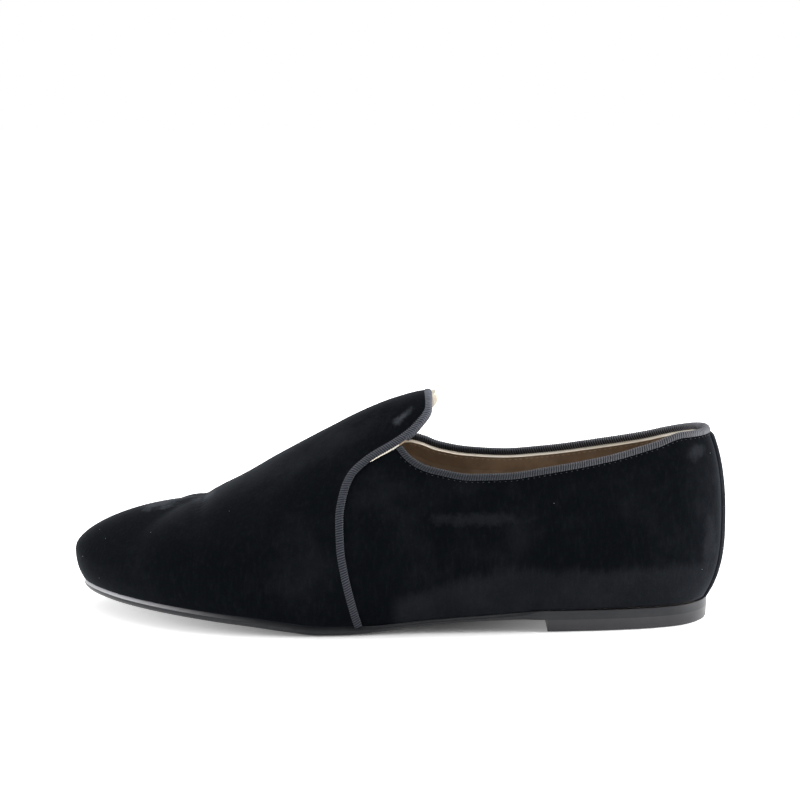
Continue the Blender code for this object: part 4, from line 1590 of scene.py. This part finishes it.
@dataclass
class Ribbon:
    """Ribbed ribbon folded over an edge of the upper."""

    shop: Workshop
    name: str
    node: str
    width: float
    inside: float
    base: float
    thick: float = 0.62
    pitch: float = 0.92
    rib_depth: float = 0.22
    fold: float = 0.62
    fold_share: float = 0.7
    skin_gap: float = 0.02
    stations: int = 5
    slant: float = 0.25
    sharp: float = 60.0

    def rings(self, path: Array, toward: Point, low: Array, leg: Array,
              back: Array | float = 0.0) -> tuple[Array, Array]:
        """Rings of the folded ribbon along an edge.

        Args:
            path: edge on the last's surface.
            toward: rough direction from the edge to the cloth that it binds.
            low: lowest lift of the fold, per station.
            leg: length of the inner leg, per station.
            back: how far the ribbon sits back over the edge, per station.

        Returns:
            Points of the rings, and their UV places.
        """
        last = self.shop.last
        gone = travelled(path)
        inward = np.cross(last.normal(path), directions(path))
        inward /= np.linalg.norm(inward, axis=1, keepdims=True)
        if float(np.sum(inward @ np.array(toward))) < 0:
            inward = -inward
        ones = np.ones(len(path))
        top, skin = self.base + self.thick, self.base + self.skin_gap
        width, fold = (self.width - back) * ones, (-self.fold - self.fold_share * back) * ones
        middle = (top + low) / 2
        # Distance across the edge and lift: front edge, outer face, fold, inner leg and its underside.
        corners = [
            (width, skin * ones), (width, (top - 0.3) * ones),
            (width * 0.8, (top - 0.04) * ones), (width * 0.4, (top + 0.06) * ones),
            (-0.1 * ones, (top - 0.02) * ones), (fold * 0.75, top - (top - low) * 0.14),
            (fold, middle + (top - low) * 0.16), (fold, middle - (top - low) * 0.16),
            (fold * 0.75, low + (top - low) * 0.14), (-0.1 * ones, low),
            (leg * 0.6, low), (leg, low + 0.25 * self.thick), (leg, low + 0.8 * self.thick),
            (-0.15 * ones, low + 0.85 * self.thick), (-0.15 * ones, skin * ones),
        ]
        first_ribbed, last_ribbed = 2, 10
        rings, uvs = [], []
        for k, (across, lift) in enumerate(corners):
            outside = first_ribbed <= k <= last_ribbed
            phase = (gone + self.slant * across) / self.pitch
            groove = 0.5 - 0.5 * np.cos(2 * np.pi * phase)
            sink = self.rib_depth * groove ** 2 if outside else 0.0 * ones
            push_a = np.where(across < 0, sink * 0.9, sink * 0.15)
            push_n = np.where(lift > middle, -sink, sink)
            push_n = push_n * np.where(across < fold * 0.9, 0.1, 1.0)
            foot = last.project(path + inward * (across + push_a)[:, None])
            rings.append(last.offset(foot, lift + push_n))
            uvs.append(np.stack([phase, k / len(corners) * ones], axis=1))
        return np.stack(rings, axis=1), np.stack(uvs, axis=1)

    def sample(self, path: Array) -> Array:
        """Path with a fixed number of stations to each rib.

        Args:
            path: edge that the ribbon binds.

        Returns:
            The path's new points.
        """
        length = travelled(path)[-1]
        stations = self.stations
        count = int(length / self.pitch * stations)
        return self.shop.last.project(resample(path, count))

    def make(self, path: Array, toward: Point, low: Array, leg: Array,
             finish: bpy.types.Material, back: Array | float = 0.0) -> bpy.types.Object:
        """Build and dress the ribbon along a sampled path.

        Args:
            path: sampled edge.
            toward: rough direction from the edge to the cloth that it binds.
            low: lowest lift of the fold, per station.
            leg: length of the inner leg, per station.
            finish: its material.
            back: how far the ribbon sits back over the edge, per station.

        Returns:
            The new object.
        """
        rings, uvs = self.rings(path, toward, low, leg, back)
        body = sweep(rings, uvs=uvs.reshape(-1, 2))
        return self.shop.make(self.name, body, finish, Slot.RIBBON, (self.node,), self.sharp)


# Light edge behind the vamp's ribbon: distance behind the seam, share of its width, lift.
SLIVER_CORNERS = ((0.20, 0, 0.05), (0.20, 0, 0.55), (0.25, 1, 0.50), (0.35, 1, 0.05))


@dataclass(frozen=True)
class StitchRow:
    """Row of stitches below the top edge, on the lining or on the velvet."""

    name: str
    slot: Slot
    down: float
    lift: float
    size: float = 1.0


@dataclass
class Bindings:
    """Both ribbons, the light edge and roll of the lining, and the stitches."""

    shop: Workshop
    vamp_width: float = 2.45
    vamp_sink: float = 0.30
    topline_width: float = 1.8
    topline_fold: float = 0.95
    topline_stop: float = 1.4
    inside: float = 1.5
    under_lining: float = 0.65
    notch_clear: float = 3.0
    tongue_back: float = 0.85
    edge_stop: float = 0.4
    edge_drop: float = 0.50
    edge_proud: float = 1.70
    edge_over: float = 0.32
    roll_drop: float = 6.5
    sliver_run: float = 13.0
    sliver_width: float = 0.55
    lip_run: float = 15.0
    lip_reach: float = 3.9
    lip_rise: float = 1.0
    stitch_stop: float = 4.0
    stitch_down: float = 1.1
    stitch_pitch: float = 2.1
    stitch_length: float = 1.35
    stitch_radius: float = 0.17
    roll_depth: float = 1.32
    below_ribbon: float = 2.45
    on_velvet: float = 0.04
    small_stitch: float = 0.45

    @property
    def ribbon_low(self) -> float:
        """Lift of a ribbon's inner leg, below the lining."""
        return -self.shop.last.sizes.wall - self.under_lining

    def build(self, vamp_ribbon: bpy.types.Material, topline_ribbon: bpy.types.Material,
              edge: bpy.types.Material, lining: bpy.types.Material,
              thread: bpy.types.Material, dark_thread: bpy.types.Material) -> None:
        """Build and dress every binding piece.

        Args:
            vamp_ribbon: finish of the ribbon round the tongue.
            topline_ribbon: finish of the ribbon round the top edge.
            edge: finish of the cut edge of the lining.
            lining: finish of the lining.
            thread: finish of the stitches on the lining.
            dark_thread: finish of the stitches below the ribbon.
        """
        self.build_vamp(vamp_ribbon)
        self.build_topline(topline_ribbon)
        self.build_light_edge(edge)
        self.build_sliver(edge)
        self.build_tongue_lip(edge)
        self.build_roll(lining)
        on_lining = StitchRow("lining_stitches", Slot.LINING,
                              self.inside + self.edge_drop + self.stitch_down,
                              -self.shop.last.sizes.wall - self.roll_depth)
        on_cloth = StitchRow("ribbon_stitches", Slot.RIBBON, self.below_ribbon, self.on_velvet,
                             self.small_stitch)
        self.build_stitches(on_lining, thread)
        self.build_stitches(on_cloth, dark_thread)

    def build_vamp(self, finish: bpy.types.Material) -> None:
        """Ribbon round the tongue and down the vamp's rear edge to the sole.

        Args:
            finish: its material.
        """
        last, pattern = self.shop.last, Pattern(self.shop.last)
        ribbon = Ribbon(self.shop, "vamp_ribbon", "vamp_binding", self.vamp_width, self.inside,
                        last.sizes.overlap_step - self.vamp_sink)
        outer, inner = pattern.vamp_edge(Side.OUTER), pattern.vamp_edge(Side.INNER)
        path = ribbon.sample(np.concatenate([outer[::-1], inner[1:]]))
        gone = travelled(path)
        marks = [gone[np.argmin(np.linalg.norm(path - pattern.seam(side)[0], axis=1))]
                 for side in (Side.OUTER, Side.INNER)]
        above = np.minimum(gone - marks[0], marks[1] - gone) / self.notch_clear
        free, folded = ease((above - 1) / 0.5), ease((above - 1.6) / 0.6)
        on_cloth, leg_end = 0.05, -0.3
        low = on_cloth + (self.ribbon_low - on_cloth) * free
        leg = leg_end + (self.inside - leg_end) * folded
        back = self.tongue_back * ease((above - 3) / 5)
        ribbon.make(path, (1.0, 0.0, 0.0), low, leg, finish, back)

    def topline_path(self, stop: float) -> Array:
        """Top edge of both quarters, ending short of the notches.

        Args:
            stop: distance that it ends short by.

        Returns:
            The path's points.
        """
        pattern = Pattern(self.shop.last)
        outer, inner = pattern.topline(Side.OUTER), pattern.topline(Side.INNER)
        path = resample(np.concatenate([outer[::-1], inner[1:]]), 1500)
        gone = travelled(path)
        return path[(gone > stop) & (gone < gone[-1] - stop)]

    def build_topline(self, finish: bpy.types.Material) -> None:
        """Ribbon round the top edge of the quarters.

        Args:
            finish: its material.
        """
        ribbon = Ribbon(self.shop, "topline_ribbon", "topline_binding", self.topline_width,
                        self.inside, 0.0, fold=self.topline_fold)
        path = ribbon.sample(self.topline_path(self.topline_stop))
        ones = np.ones(len(path))
        ribbon.make(path, (0.0, 0.0, -1.0), ones * self.ribbon_low, ones * self.inside, finish)

    def inside_line(self, path: Array, down: float, lift: float) -> Array:
        """Line on the lining, a little below the top edge.

        Args:
            path: top edge.
            down: distance below it.
            lift: lift off the last, negative inside.

        Returns:
            The line's points.
        """
        last = self.shop.last
        inward = np.cross(last.normal(path), directions(path))
        inward /= np.linalg.norm(inward, axis=1, keepdims=True)
        inward = np.where((inward[:, 2] > 0)[:, None], -inward, inward)
        return last.offset(last.project(path + inward * down), lift)

    def strip_along(self, path: Array, corners: tuple) -> Body:
        """Strip swept along the top edge through rows of distance down and lift."""
        return sweep(np.stack([self.inside_line(path, down, lift) for down, lift in corners], axis=1))

    def build_light_edge(self, finish: bpy.types.Material) -> None:
        """Cut edge of the lining leather: a light chamfer under the ribbon.

        Args:
            finish: its material.
        """
        wall = self.shop.last.sizes.wall
        path = self.shop.last.project(resample(self.topline_path(self.edge_stop), 260))
        top, low = self.inside - 0.5, self.inside + self.edge_drop
        corners = ((top, -wall + 0.1), (low + 0.3, -wall + 0.1), (low + 0.25, -wall - 0.9),
                   (low, -wall - self.edge_proud), (low - 0.15, -wall - self.edge_proud - 0.02),
                   (top + 0.45, -wall - 0.55), (top, -wall - 0.3))
        self.shop.make("lining_edge", self.strip_along(path, corners), finish, Slot.LINING, ("upper",))

    def build_roll(self, finish: bpy.types.Material) -> None:
        """Padded top of the lining, from its light edge down to the plain wall.

        Args:
            finish: its material.
        """
        wall = self.shop.last.sizes.wall
        path = self.shop.last.project(resample(self.topline_path(self.edge_stop), 200))
        top = self.inside + self.edge_drop
        drops = np.linspace(0.0, 1.0, 9)
        swell = (self.edge_proud - self.edge_over) * (1 - drops ** 1.6)
        corners = [(top - 0.1, -wall + 0.1), (top + self.roll_drop, -wall + 0.1)]
        corners += [(top + self.roll_drop * drop, -wall - 0.02 - proud)
                    for drop, proud in zip(drops[::-1], swell[::-1])]
        roll = self.strip_along(path, tuple(corners))
        self.shop.make("lining_roll", roll, finish, Slot.LINING, ("upper",))

    def build_sliver(self, finish: bpy.types.Material) -> None:
        """Light edge that shows behind the vamp's ribbon below each notch.

        Args:
            finish: its material.
        """
        last, pattern = self.shop.last, Pattern(self.shop.last)
        count = 60
        wide = self.sliver_width * np.sqrt(1 - np.linspace(0.0, 1.0, count) ** 2) + 0.04
        slivers = []
        for side in Side:
            edge = pattern.seam(side)
            path = last.project(resample(edge[travelled(edge) < self.sliver_run], count))
            behind = np.cross(last.normal(path), directions(path))
            behind = np.where((behind[:, 0] > 0)[:, None], -behind, behind)
            rings = []
            for across, growth, lift in SLIVER_CORNERS:
                foot = last.project(path + behind * (across + growth * wide)[:, None])
                rings.append(last.offset(foot, lift))
            slivers.append(sweep(np.stack(rings, axis=1)))
        self.shop.make("notch_edge", joined(slivers), finish, Slot.LINING, ("upper",))

    def build_tongue_lip(self, finish: bpy.types.Material) -> None:
        """Light inner edge of the tongue, which shows past the ribbon on the far side.

        Args:
            finish: its material.
        """
        last = self.shop.last
        edge = Pattern(last).vamp_edge(Side.INNER)
        count = 50
        path = last.project(resample(edge[travelled(edge) < self.lip_run], count))
        share = np.linspace(0.0, 1.0, count)
        reach = self.lip_reach * np.sin(np.pi * (0.09 + 0.87 * share)) ** 0.35
        rise = np.outer(self.lip_rise * (1 - share) ** 2, (0.0, 0.0, 1.0))
        wall = last.sizes.wall
        rings = []
        corners = ((0.0, 0.3), (0.7, 0.25), (1.0, -0.2), (1.0, -0.8), (0.75, -wall),
                   (0.0, -wall - 0.2))
        for out, lift in corners:
            foot = path - np.outer(reach * out + 0.1, (1.0, 0.0, 0.0))
            rings.append(foot + rise * out + last.normal(path) * lift)
        lip = sweep(np.stack(rings, axis=1))
        self.shop.make("tongue_lip", lip, finish, Slot.LINING, ("upper",), 60.0)

    def build_stitches(self, row: StitchRow, finish: bpy.types.Material) -> None:
        """Build and dress one row of stitches.

        Args:
            row: where the stitches run and how large they are.
            finish: their material.
        """
        last = self.shop.last
        path = self.topline_path(self.stitch_stop)
        count = int(travelled(path)[-1] / self.stitch_pitch)
        steps = 6
        line = self.inside_line(last.project(resample(path, count * steps + 1)), row.down, row.lift)
        normal = last.normal(line) * (-1.0 if row.slot is Slot.LINING else 1.0)
        stitches = []
        for at in range(steps // 2, count * steps, steps):
            along = line[at + 1] - line[at - 1]
            along /= np.linalg.norm(along)
            stitches.append(thread_bit(line[at], along * self.stitch_length * row.size / 2, normal[at],
                                       self.stitch_radius * (1 + row.size) / 2))
        self.shop.make(row.name, joined(stitches), finish, row.slot, ("upper",))


def thread_bit(middle: Array, half: Array, facing: Array, radius: float, bow: float = 0.0) -> Body:
    """Short rounded bit of thread.

    Args:
        middle: its middle.
        half: from its middle to one end.
        facing: outward direction of the cloth under it.
        radius: its thickness in the middle.
        bow: how far its middle is pushed sideways.

    Returns:
        The bit as a closed body.
    """
    side = np.cross(facing, half / np.linalg.norm(half))
    turn = np.linspace(0, 2 * np.pi, 7)[:-1]
    round_way = np.cos(turn)[:, None] * side + np.sin(turn)[:, None] * facing
    rings = []
    for t in np.linspace(-1, 1, 5):
        swell = radius * math.sqrt(max(1 - t * t, 0.02))
        centre = middle + half * t + facing * swell * 0.5 + side * bow * (1 - t * t)
        rings.append(centre + swell * round_way)
    return sweep(np.array(rings))


@dataclass
class Lint:
    """Small specks of lint that lie on the velvet."""

    shop: Workshop
    radius: float = 0.08
    proud: float = 0.10
    bow: float = 0.25

    def speck(self, middle: Point, length: float, turn: float) -> Body:
        """One speck of lint.

        Args:
            middle: its place near the last's surface.
            length: its length.
            turn: its turn from level in degrees.

        Returns:
            The speck as a closed body.
        """
        last = self.shop.last
        point = last.project(np.array([middle]))
        facing = last.normal(point)[0]
        level = np.cross(facing, (0.0, 0.0, 1.0))
        level /= np.linalg.norm(level)
        upright = np.cross(level, facing)
        way = math.cos(math.radians(turn)) * level + math.sin(math.radians(turn)) * upright
        on_vamp = middle[0] > last.sizes.length / 2
        lift = (last.sizes.overlap_step if on_vamp else 0.0) + self.proud - self.radius
        return thread_bit(point[0] + facing * lift, way * length / 2, facing, self.radius,
                          self.bow * length)

    def build(self, finish: bpy.types.Material) -> None:
        """Build and dress every speck."""
        specks = joined([self.speck(*row) for row in LINT])
        self.shop.make("lint", specks, finish, Slot.VELVET, ("upper",))


@dataclass
class BackStrip:
    """Velvet strip over the seam at the back of the heel."""

    shop: Workshop
    top_width: float = 13.0
    foot_width: float = 21.0
    thick: float = 1.0
    under_ribbon: float = 1.9

    def build(self, finish: bpy.types.Material) -> None:
        """Build and dress the strip.

        Args:
            finish: its material.
        """
        last = self.shop.last
        cut = last.section(np.array([0.0]))
        low = float(cut["edge_z"][0]) - 0.2
        high = last.sizes.back_height - self.under_ribbon
        columns, rows = 36, 90
        outer, inner = [], []
        for j in range(rows + 1):
            t = j / rows
            width = self.foot_width + (self.top_width - self.foot_width) * t
            height = low + (high - low) * t
            turn = np.linspace(-0.5, 0.5, columns + 1) * width / float(cut["widest"][0])
            line = last.section(np.interp(turn, *last.heel_fan))
            angle = np.arctan2(height - line["widest_z"], line["widest"])
            for _ in range(12):
                angle = angle + (height - last.place(line, angle)[:, 2]) / line["widest"]
            point = last.place(line, angle)
            edge = np.minimum(np.arange(columns + 1), np.arange(columns, -1, -1)) / 3.0
            swell = np.sqrt(np.clip(edge, 0.08, 1.0)) * min(1.0, math.sqrt((rows - j) / 2 + 0.1))
            outer.append(last.offset(point, 0.1 + self.thick * swell))
            inner.append(last.offset(point, 0.0 * swell))
        body = grid_body(np.array(outer), np.array(inner))
        self.shop.make("heel_strip", body, finish, Slot.VELVET, ("back_strip",), 80.0)


# Steps up the edge of the sole and of the insole: share of the height, inset at the heel and in
# front of it.
SOLE_STEPS = ((0.0, 0.0, 1.5), (0.05, 0.0, 1.15), (0.36, 0.0, 0.16), (0.44, 0.0, 0.04),
              (0.58, 0.0, 0.0), (0.61, 0.02, 0.12), (0.66, 0.02, 0.06), (0.96, 0.12, 0.62),
              (1.0, 0.35, 0.80))
SOCK_STEPS = ((0.0, 0.3, 0.3), (0.3, 0.0, 0.0), (0.8, 0.0, 0.0), (0.95, 0.3, 0.3), (1.0, 0.9, 0.9))


@dataclass
class Bottom:
    """Sole, heel block and insole."""

    shop: Workshop
    stations: int = 150
    heel_taper: float = 0.3
    breast_gap: float = 1.0
    insole_gap: float = 0.1
    insole_lift: float = 0.05
    insole_thick: float = 2.4
    foot_round: float = 0.4

    def plate(self, margin: float, heights: Callable[[Array], tuple[Array, Array]], steps: tuple,
              end_u: float | None = None) -> Body:
        """Solid that follows the sole's outline.

        Args:
            margin: how far the outline lies outside the upper's edge.
            heights: function from u to the heights of underside and upper face.
            steps: rows of share of the height, inset at the heel and inset in front.
            end_u: where a square front cuts the outline, or None for the whole sole.

        Returns:
            The closed body.
        """
        last = self.shop.last
        end = math.pi if end_u is None else math.acos(1 - 2 * (end_u - last.back) / last.run)
        count = self.stations
        half = np.linspace(0.0, end, count + 1)
        theta = np.concatenate([half, (2 * math.pi - half[::-1])[(1 if end_u is None else 0):-1]])
        front = ease(((1 - np.cos(theta)) / 2 - BEVEL_START) / (BEVEL_FULL - BEVEL_START))
        rings, places = [], []
        for share, inset_heel, inset_front in steps:
            inset = inset_heel + (inset_front - inset_heel) * front
            u, y = last.loop(theta, margin - inset)
            if end_u is not None:
                u = np.minimum(u, end_u - inset * 0.3)
            bottom, top = heights(u)
            rings.append(np.stack([u, y, bottom + (top - bottom) * share], axis=1))
            places.append(np.stack([(u - last.back) / last.run, 0.0 * u + share], axis=1))
        size = len(theta)
        body = sweep(np.array(rings), uvs=np.concatenate(places))
        faces = [face[::-1] for face in body.faces[:-2]]
        pairs = [(k, (size - k) % size) for k in range(size // 2 + 1)]
        for (a, b), (c, d) in zip(pairs[:-1], pairs[1:]):
            for shift, flip in ((0, True), ((len(rings) - 1) * size, False)):
                quad = list(dict.fromkeys([a + shift, c + shift, d + shift, b + shift]))
                faces.append(tuple(quad[::-1] if flip else quad))
        return Body(body.verts, faces, body.uvs)

    def build(self, sole: bpy.types.Material, heel: bpy.types.Material,
              lining: bpy.types.Material) -> None:
        """Build and dress the sole, the heel and the insole.

        Args:
            sole: finish of the sole.
            heel: finish of the heel.
            lining: finish of the insole.
        """
        last = self.shop.last
        margin, block = last.sizes.sole_margin, last.sizes.heel_block
        body = self.plate(margin, lambda u: (last.underside(u), last.sole_top(u)), SOLE_STEPS)
        self.shop.make("sole", body, sole, Slot.SOLE, ("outsole",), 35.0)
        breast = UNDERSIDE[1][1] * last.run + last.back - self.breast_gap
        foot = self.heel_taper + self.foot_round
        steps = ((0.0, foot, foot), (0.03, foot - 0.25, foot - 0.25),
                 (0.1, self.heel_taper, self.heel_taper), (1.0, 0.0, 0.0))
        body = self.plate(margin, lambda u: (0.0 * u, 0.0 * u + block), steps, breast)
        self.shop.make("heel_block", body, heel, Slot.HEEL, ("heel",), 35.0)
        body = self.plate(
            -(last.sizes.wall + self.insole_gap),
            lambda u: (last.sole_top(u) + self.insole_lift, last.sole_top(u) + self.insole_thick),
            SOCK_STEPS)
        self.shop.make("sock", body, lining, Slot.LINING, ("insole",), 60.0)


@dataclass(frozen=True)
class Lamp:
    """Soft round light that points at the shoe: place and width in metres, power in watts."""

    name: str
    place: Point
    width: float
    power: float

    def build(self) -> None:
        """Make the light."""
        data = bpy.data.lights.new(self.name, "AREA")
        data.shape, data.size, data.energy = "DISK", self.width, self.power
        made = bpy.data.objects.new(self.name, data)
        made.location = self.place
        toward = Vector(LIT_POINT) - Vector(self.place)
        made.rotation_euler = toward.to_track_quat("-Z", "Y").to_euler()
        bpy.context.scene.collection.objects.link(made)


# Point that the lights face, in metres.
LIT_POINT = (0.0, 0.0, 0.04)
LAMPS = (
    Lamp("top_light", (0.0, 0.35, 1.8), 1.6, 22.0),
    Lamp("left_light", (-1.4, -0.12, 0.35), 0.8, 11.0),
    Lamp("right_light", (1.4, -0.05, 0.42), 0.8, 27.0),
)


@dataclass(frozen=True)
class Studio:
    """Camera, floor and lights of the photograph."""

    place: Frame
    pitch: float = 8.7
    yaw: float = 0.7
    distance: float = 0.873
    aim: Point = (128.95, 3.04, 84.5)
    lens: float = 100.0
    sensor: float = 36.0
    floor_half: float = 6.0
    floor_drop: float = 0.0002
    white: float = 0.97
    front_glow: float = 0.30
    back_glow: float = 0.95
    floor_glow: float = 0.58

    def camera(self) -> None:
        """Make the camera at the photograph's viewing angle."""
        data = bpy.data.cameras.new("camera")
        data.lens, data.sensor_width, data.sensor_fit = self.lens, self.sensor, "HORIZONTAL"
        data.clip_end = 20.0
        made = bpy.data.objects.new("camera", data)
        bpy.context.scene.collection.objects.link(made)
        pitch, yaw = math.radians(self.pitch), math.radians(self.yaw)
        forward = Vector((-math.sin(yaw) * math.cos(pitch), math.cos(yaw) * math.cos(pitch),
                          -math.sin(pitch)))
        made.location = Vector(self.place.to_frame(np.array(self.aim))) - forward * self.distance
        made.rotation_euler = forward.to_track_quat("-Z", "Y").to_euler()
        bpy.context.scene.camera = made

    def floor(self) -> None:
        """Make the white floor, whose glow is painted light: it glows little close under the shoe, a
        painted shadow there, and more with distance from it.
        """
        mesh = bpy.data.meshes.new("floor")
        half = self.floor_half
        mesh.from_pydata([(-half, -half, 0), (half, -half, 0), (half, half, 0), (-half, half, 0)],
                         [], [(0, 1, 2, 3)])
        finish, graph, shader = blank_material("floor_white")
        shader.inputs["Base Color"].default_value = (self.white, self.white, self.white, 1.0)
        shader.inputs["Roughness"].default_value = 1.0
        shader.inputs["Specular IOR Level"].default_value = 0.0
        shader.inputs["Emission Color"].default_value = (1.0, 1.0, 1.0, 1.0)
        away = graph.node("ShaderNodeVectorMath", operation="LENGTH")
        graph.link(graph.where(), away.inputs[0])
        # Painted shadow and light: the floor's glow is low close under the shoe and rises with distance
        # from it.
        near = graph.span(away.outputs["Value"], 0.02, 0.13, 0.03, self.floor_glow)
        far = graph.span(away.outputs["Value"], 0.30, 1.0, 0.0, 1.0 - self.floor_glow)
        graph.link(graph.math("ADD", near, far), shader.inputs["Emission Strength"])
        mesh.materials.append(finish)
        made = bpy.data.objects.new("floor", mesh)
        made.location.z = -self.floor_drop
        bpy.context.scene.collection.objects.link(made)

    def build(self) -> None:
        """Build the whole studio."""
        self.camera()
        self.floor()
        for lamp in LAMPS:
            lamp.build()
        self.sky()
        bpy.context.scene.view_settings.view_transform = "Standard"

    def sky(self) -> None:
        """Make the white backdrop, which glows less from the camera's side."""
        world = bpy.data.worlds.new("studio")
        world.use_nodes = True
        graph = Graph(world.node_tree)
        backdrop = world.node_tree.nodes["Background"]
        backdrop.inputs["Color"].default_value = (1.0, 1.0, 1.0, 1.0)
        way = graph.apart(graph.node("ShaderNodeTexCoord").outputs["Generated"])
        glow = graph.span(way["Y"], -0.75, 0.35, self.front_glow, self.back_glow)
        seen = graph.node("ShaderNodeLightPath").outputs["Is Camera Ray"]
        graph.link(graph.math("MAXIMUM", glow, seen), backdrop.inputs["Strength"])
        bpy.context.scene.world = world


# Patches of lying pile with painted sheen: middle in the shoe's axes, half sizes, strength, slant,
# raggedness.
NAP_SHEEN_PATCHES = (
    NapSheenPatch((128.4, -11.8, 79.8), (1.7, 7.0, 6.8), 0.95, -53.0, 0.45),
    NapSheenPatch((98.1, -31.6, 43.7), (21.0, 9.0, 3.2), 0.14, 0.0, 0.55),
    NapSheenPatch((223.0, 9.0, 41.6), (11.0, 9.0, 1.9), 0.70, 12.0, 0.60),
    NapSheenPatch((203.0, 4.0, 46.6), (9.0, 8.0, 1.5), 0.32, 12.0, 0.60),
    NapSheenPatch((9.0, -16.7, 31.0), (4.2, 9.0, 14.0), 0.13, 0.0, 0.50),
    NapSheenPatch((15.0, -16.5, 67.0), (4.5, 8.0, 3.4), 0.22, 20.0, 0.50),
    NapSheenPatch((158.0, -10.0, 66.0), (34.0, 14.0, 6.0), 0.08, 28.0, 0.50),
)
# Stretch of lying pile low on the quarter, painted lighter as sheen where the floor's light is
# reflected: its front, where it is highest, its rear, both heights, strength.
NAP_SHEEN_BANDS = (NapSheenBand(133.4, 92.0, 7.0, 13.7, 25.3, 0.12),)

# Specks of lint: place in the shoe's axes, length and turn from level in degrees.
LINT = (
    ((134.6, -8.6, 79.6), 0.8, 35.0),
    ((137.0, -9.0, 77.0), 0.5, 110.0),
    ((254.0, 1.4, 21.9), 0.5, 80.0),
    ((11.9, -19.2, 22.0), 0.6, 10.0),
    ((8.8, -11.6, 66.2), 0.5, 60.0),
    ((248.0, 4.8, 31.3), 0.4, 20.0),
    ((225.4, -13.2, 34.0), 0.5, 100.0),
    ((194.3, -19.5, 43.7), 0.4, 140.0),
    ((246.5, -7.1, 15.3), 0.4, 0.0),
    ((244.5, -2.8, 29.3), 0.4, 50.0),
    ((70.0, -31.0, 51.0), 0.4, 120.0),
)

# Leather, threads and rubber: name, two colours, roughness, scale and depth of the grain.
PLAIN_FINISHES = (
    PlainFinish("taupe_lining", (0.310, 0.236, 0.170), (0.440, 0.342, 0.252), 0.50, 900.0, 0.03),
    PlainFinish("light_edge", (0.93, 0.84, 0.70), (0.98, 0.92, 0.80), 0.7, 1500.0, 0.02),
    PlainFinish("tan_thread", (0.52, 0.42, 0.30), (0.64, 0.53, 0.40), 0.7, 2500.0, 0.02),
    PlainFinish("dark_thread", (0.020, 0.022, 0.028), (0.040, 0.044, 0.052), 0.7, 2500.0, 0.02),
    PlainFinish("lint_grey", (0.16, 0.17, 0.19), (0.24, 0.25, 0.27), 0.9, 2500.0, 0.02),
    PlainFinish("sole_charcoal", (0.012, 0.013, 0.016), (0.018, 0.019, 0.022), 0.34, 900.0, 0.02,
                0.28, PaintedReflectionEdge()),
    PlainFinish("heel_charcoal", (0.016, 0.016, 0.019), (0.022, 0.022, 0.025), 0.32, 1300.0, 0.012,
                0.42),
)
RIBBON_FINISHES = (
    RibbonFinish("vamp_ribbon_navy"),
    RibbonFinish("topline_ribbon_grey", (0.150, 0.152, 0.170), (0.040, 0.046, 0.058),
                 bright=(0.02, 0.10), along=Along.LENGTH),
)


def main() -> None:
    """Build the shoe, its finishes and the studio."""
    logging.basicConfig(level=logging.INFO, format="%(message)s")
    last = Last(Sizes())
    place = Frame.from_sole(last)
    LOG.info("shift %.3f %.3f", place.shift_u, place.shift_y)
    effects = Effects()
    shop = Workshop(last, place)
    velvet = VelvetFinish("black_velvet", patches=NAP_SHEEN_PATCHES, bands=NAP_SHEEN_BANDS)
    # The strip's pile is lighter and more streaked than the main velvet; its lighter tone is painted
    # sheen on the heel's back.
    strip = VelvetFinish("strip_velvet", pile=(0.010, 0.011, 0.014), cloud=0.45, streak=0.3)
    velvet, strip = [finish.material(effects, last, place) for finish in (velvet, strip)]
    lining, edge, thread, dark_thread, fluff, sole, heel = [
        finish.material(effects) for finish in PLAIN_FINISHES]
    vamp_ribbon, topline_ribbon = [finish.material(effects) for finish in RIBBON_FINISHES]
    Upper(shop).build(velvet, lining)
    Bindings(shop).build(vamp_ribbon, topline_ribbon, edge, lining, thread, dark_thread)
    BackStrip(shop).build(strip)
    Lint(shop).build(fluff)
    Bottom(shop).build(sole, heel, lining)
    Studio(place).build()


if __name__ == "__main__":
    main()
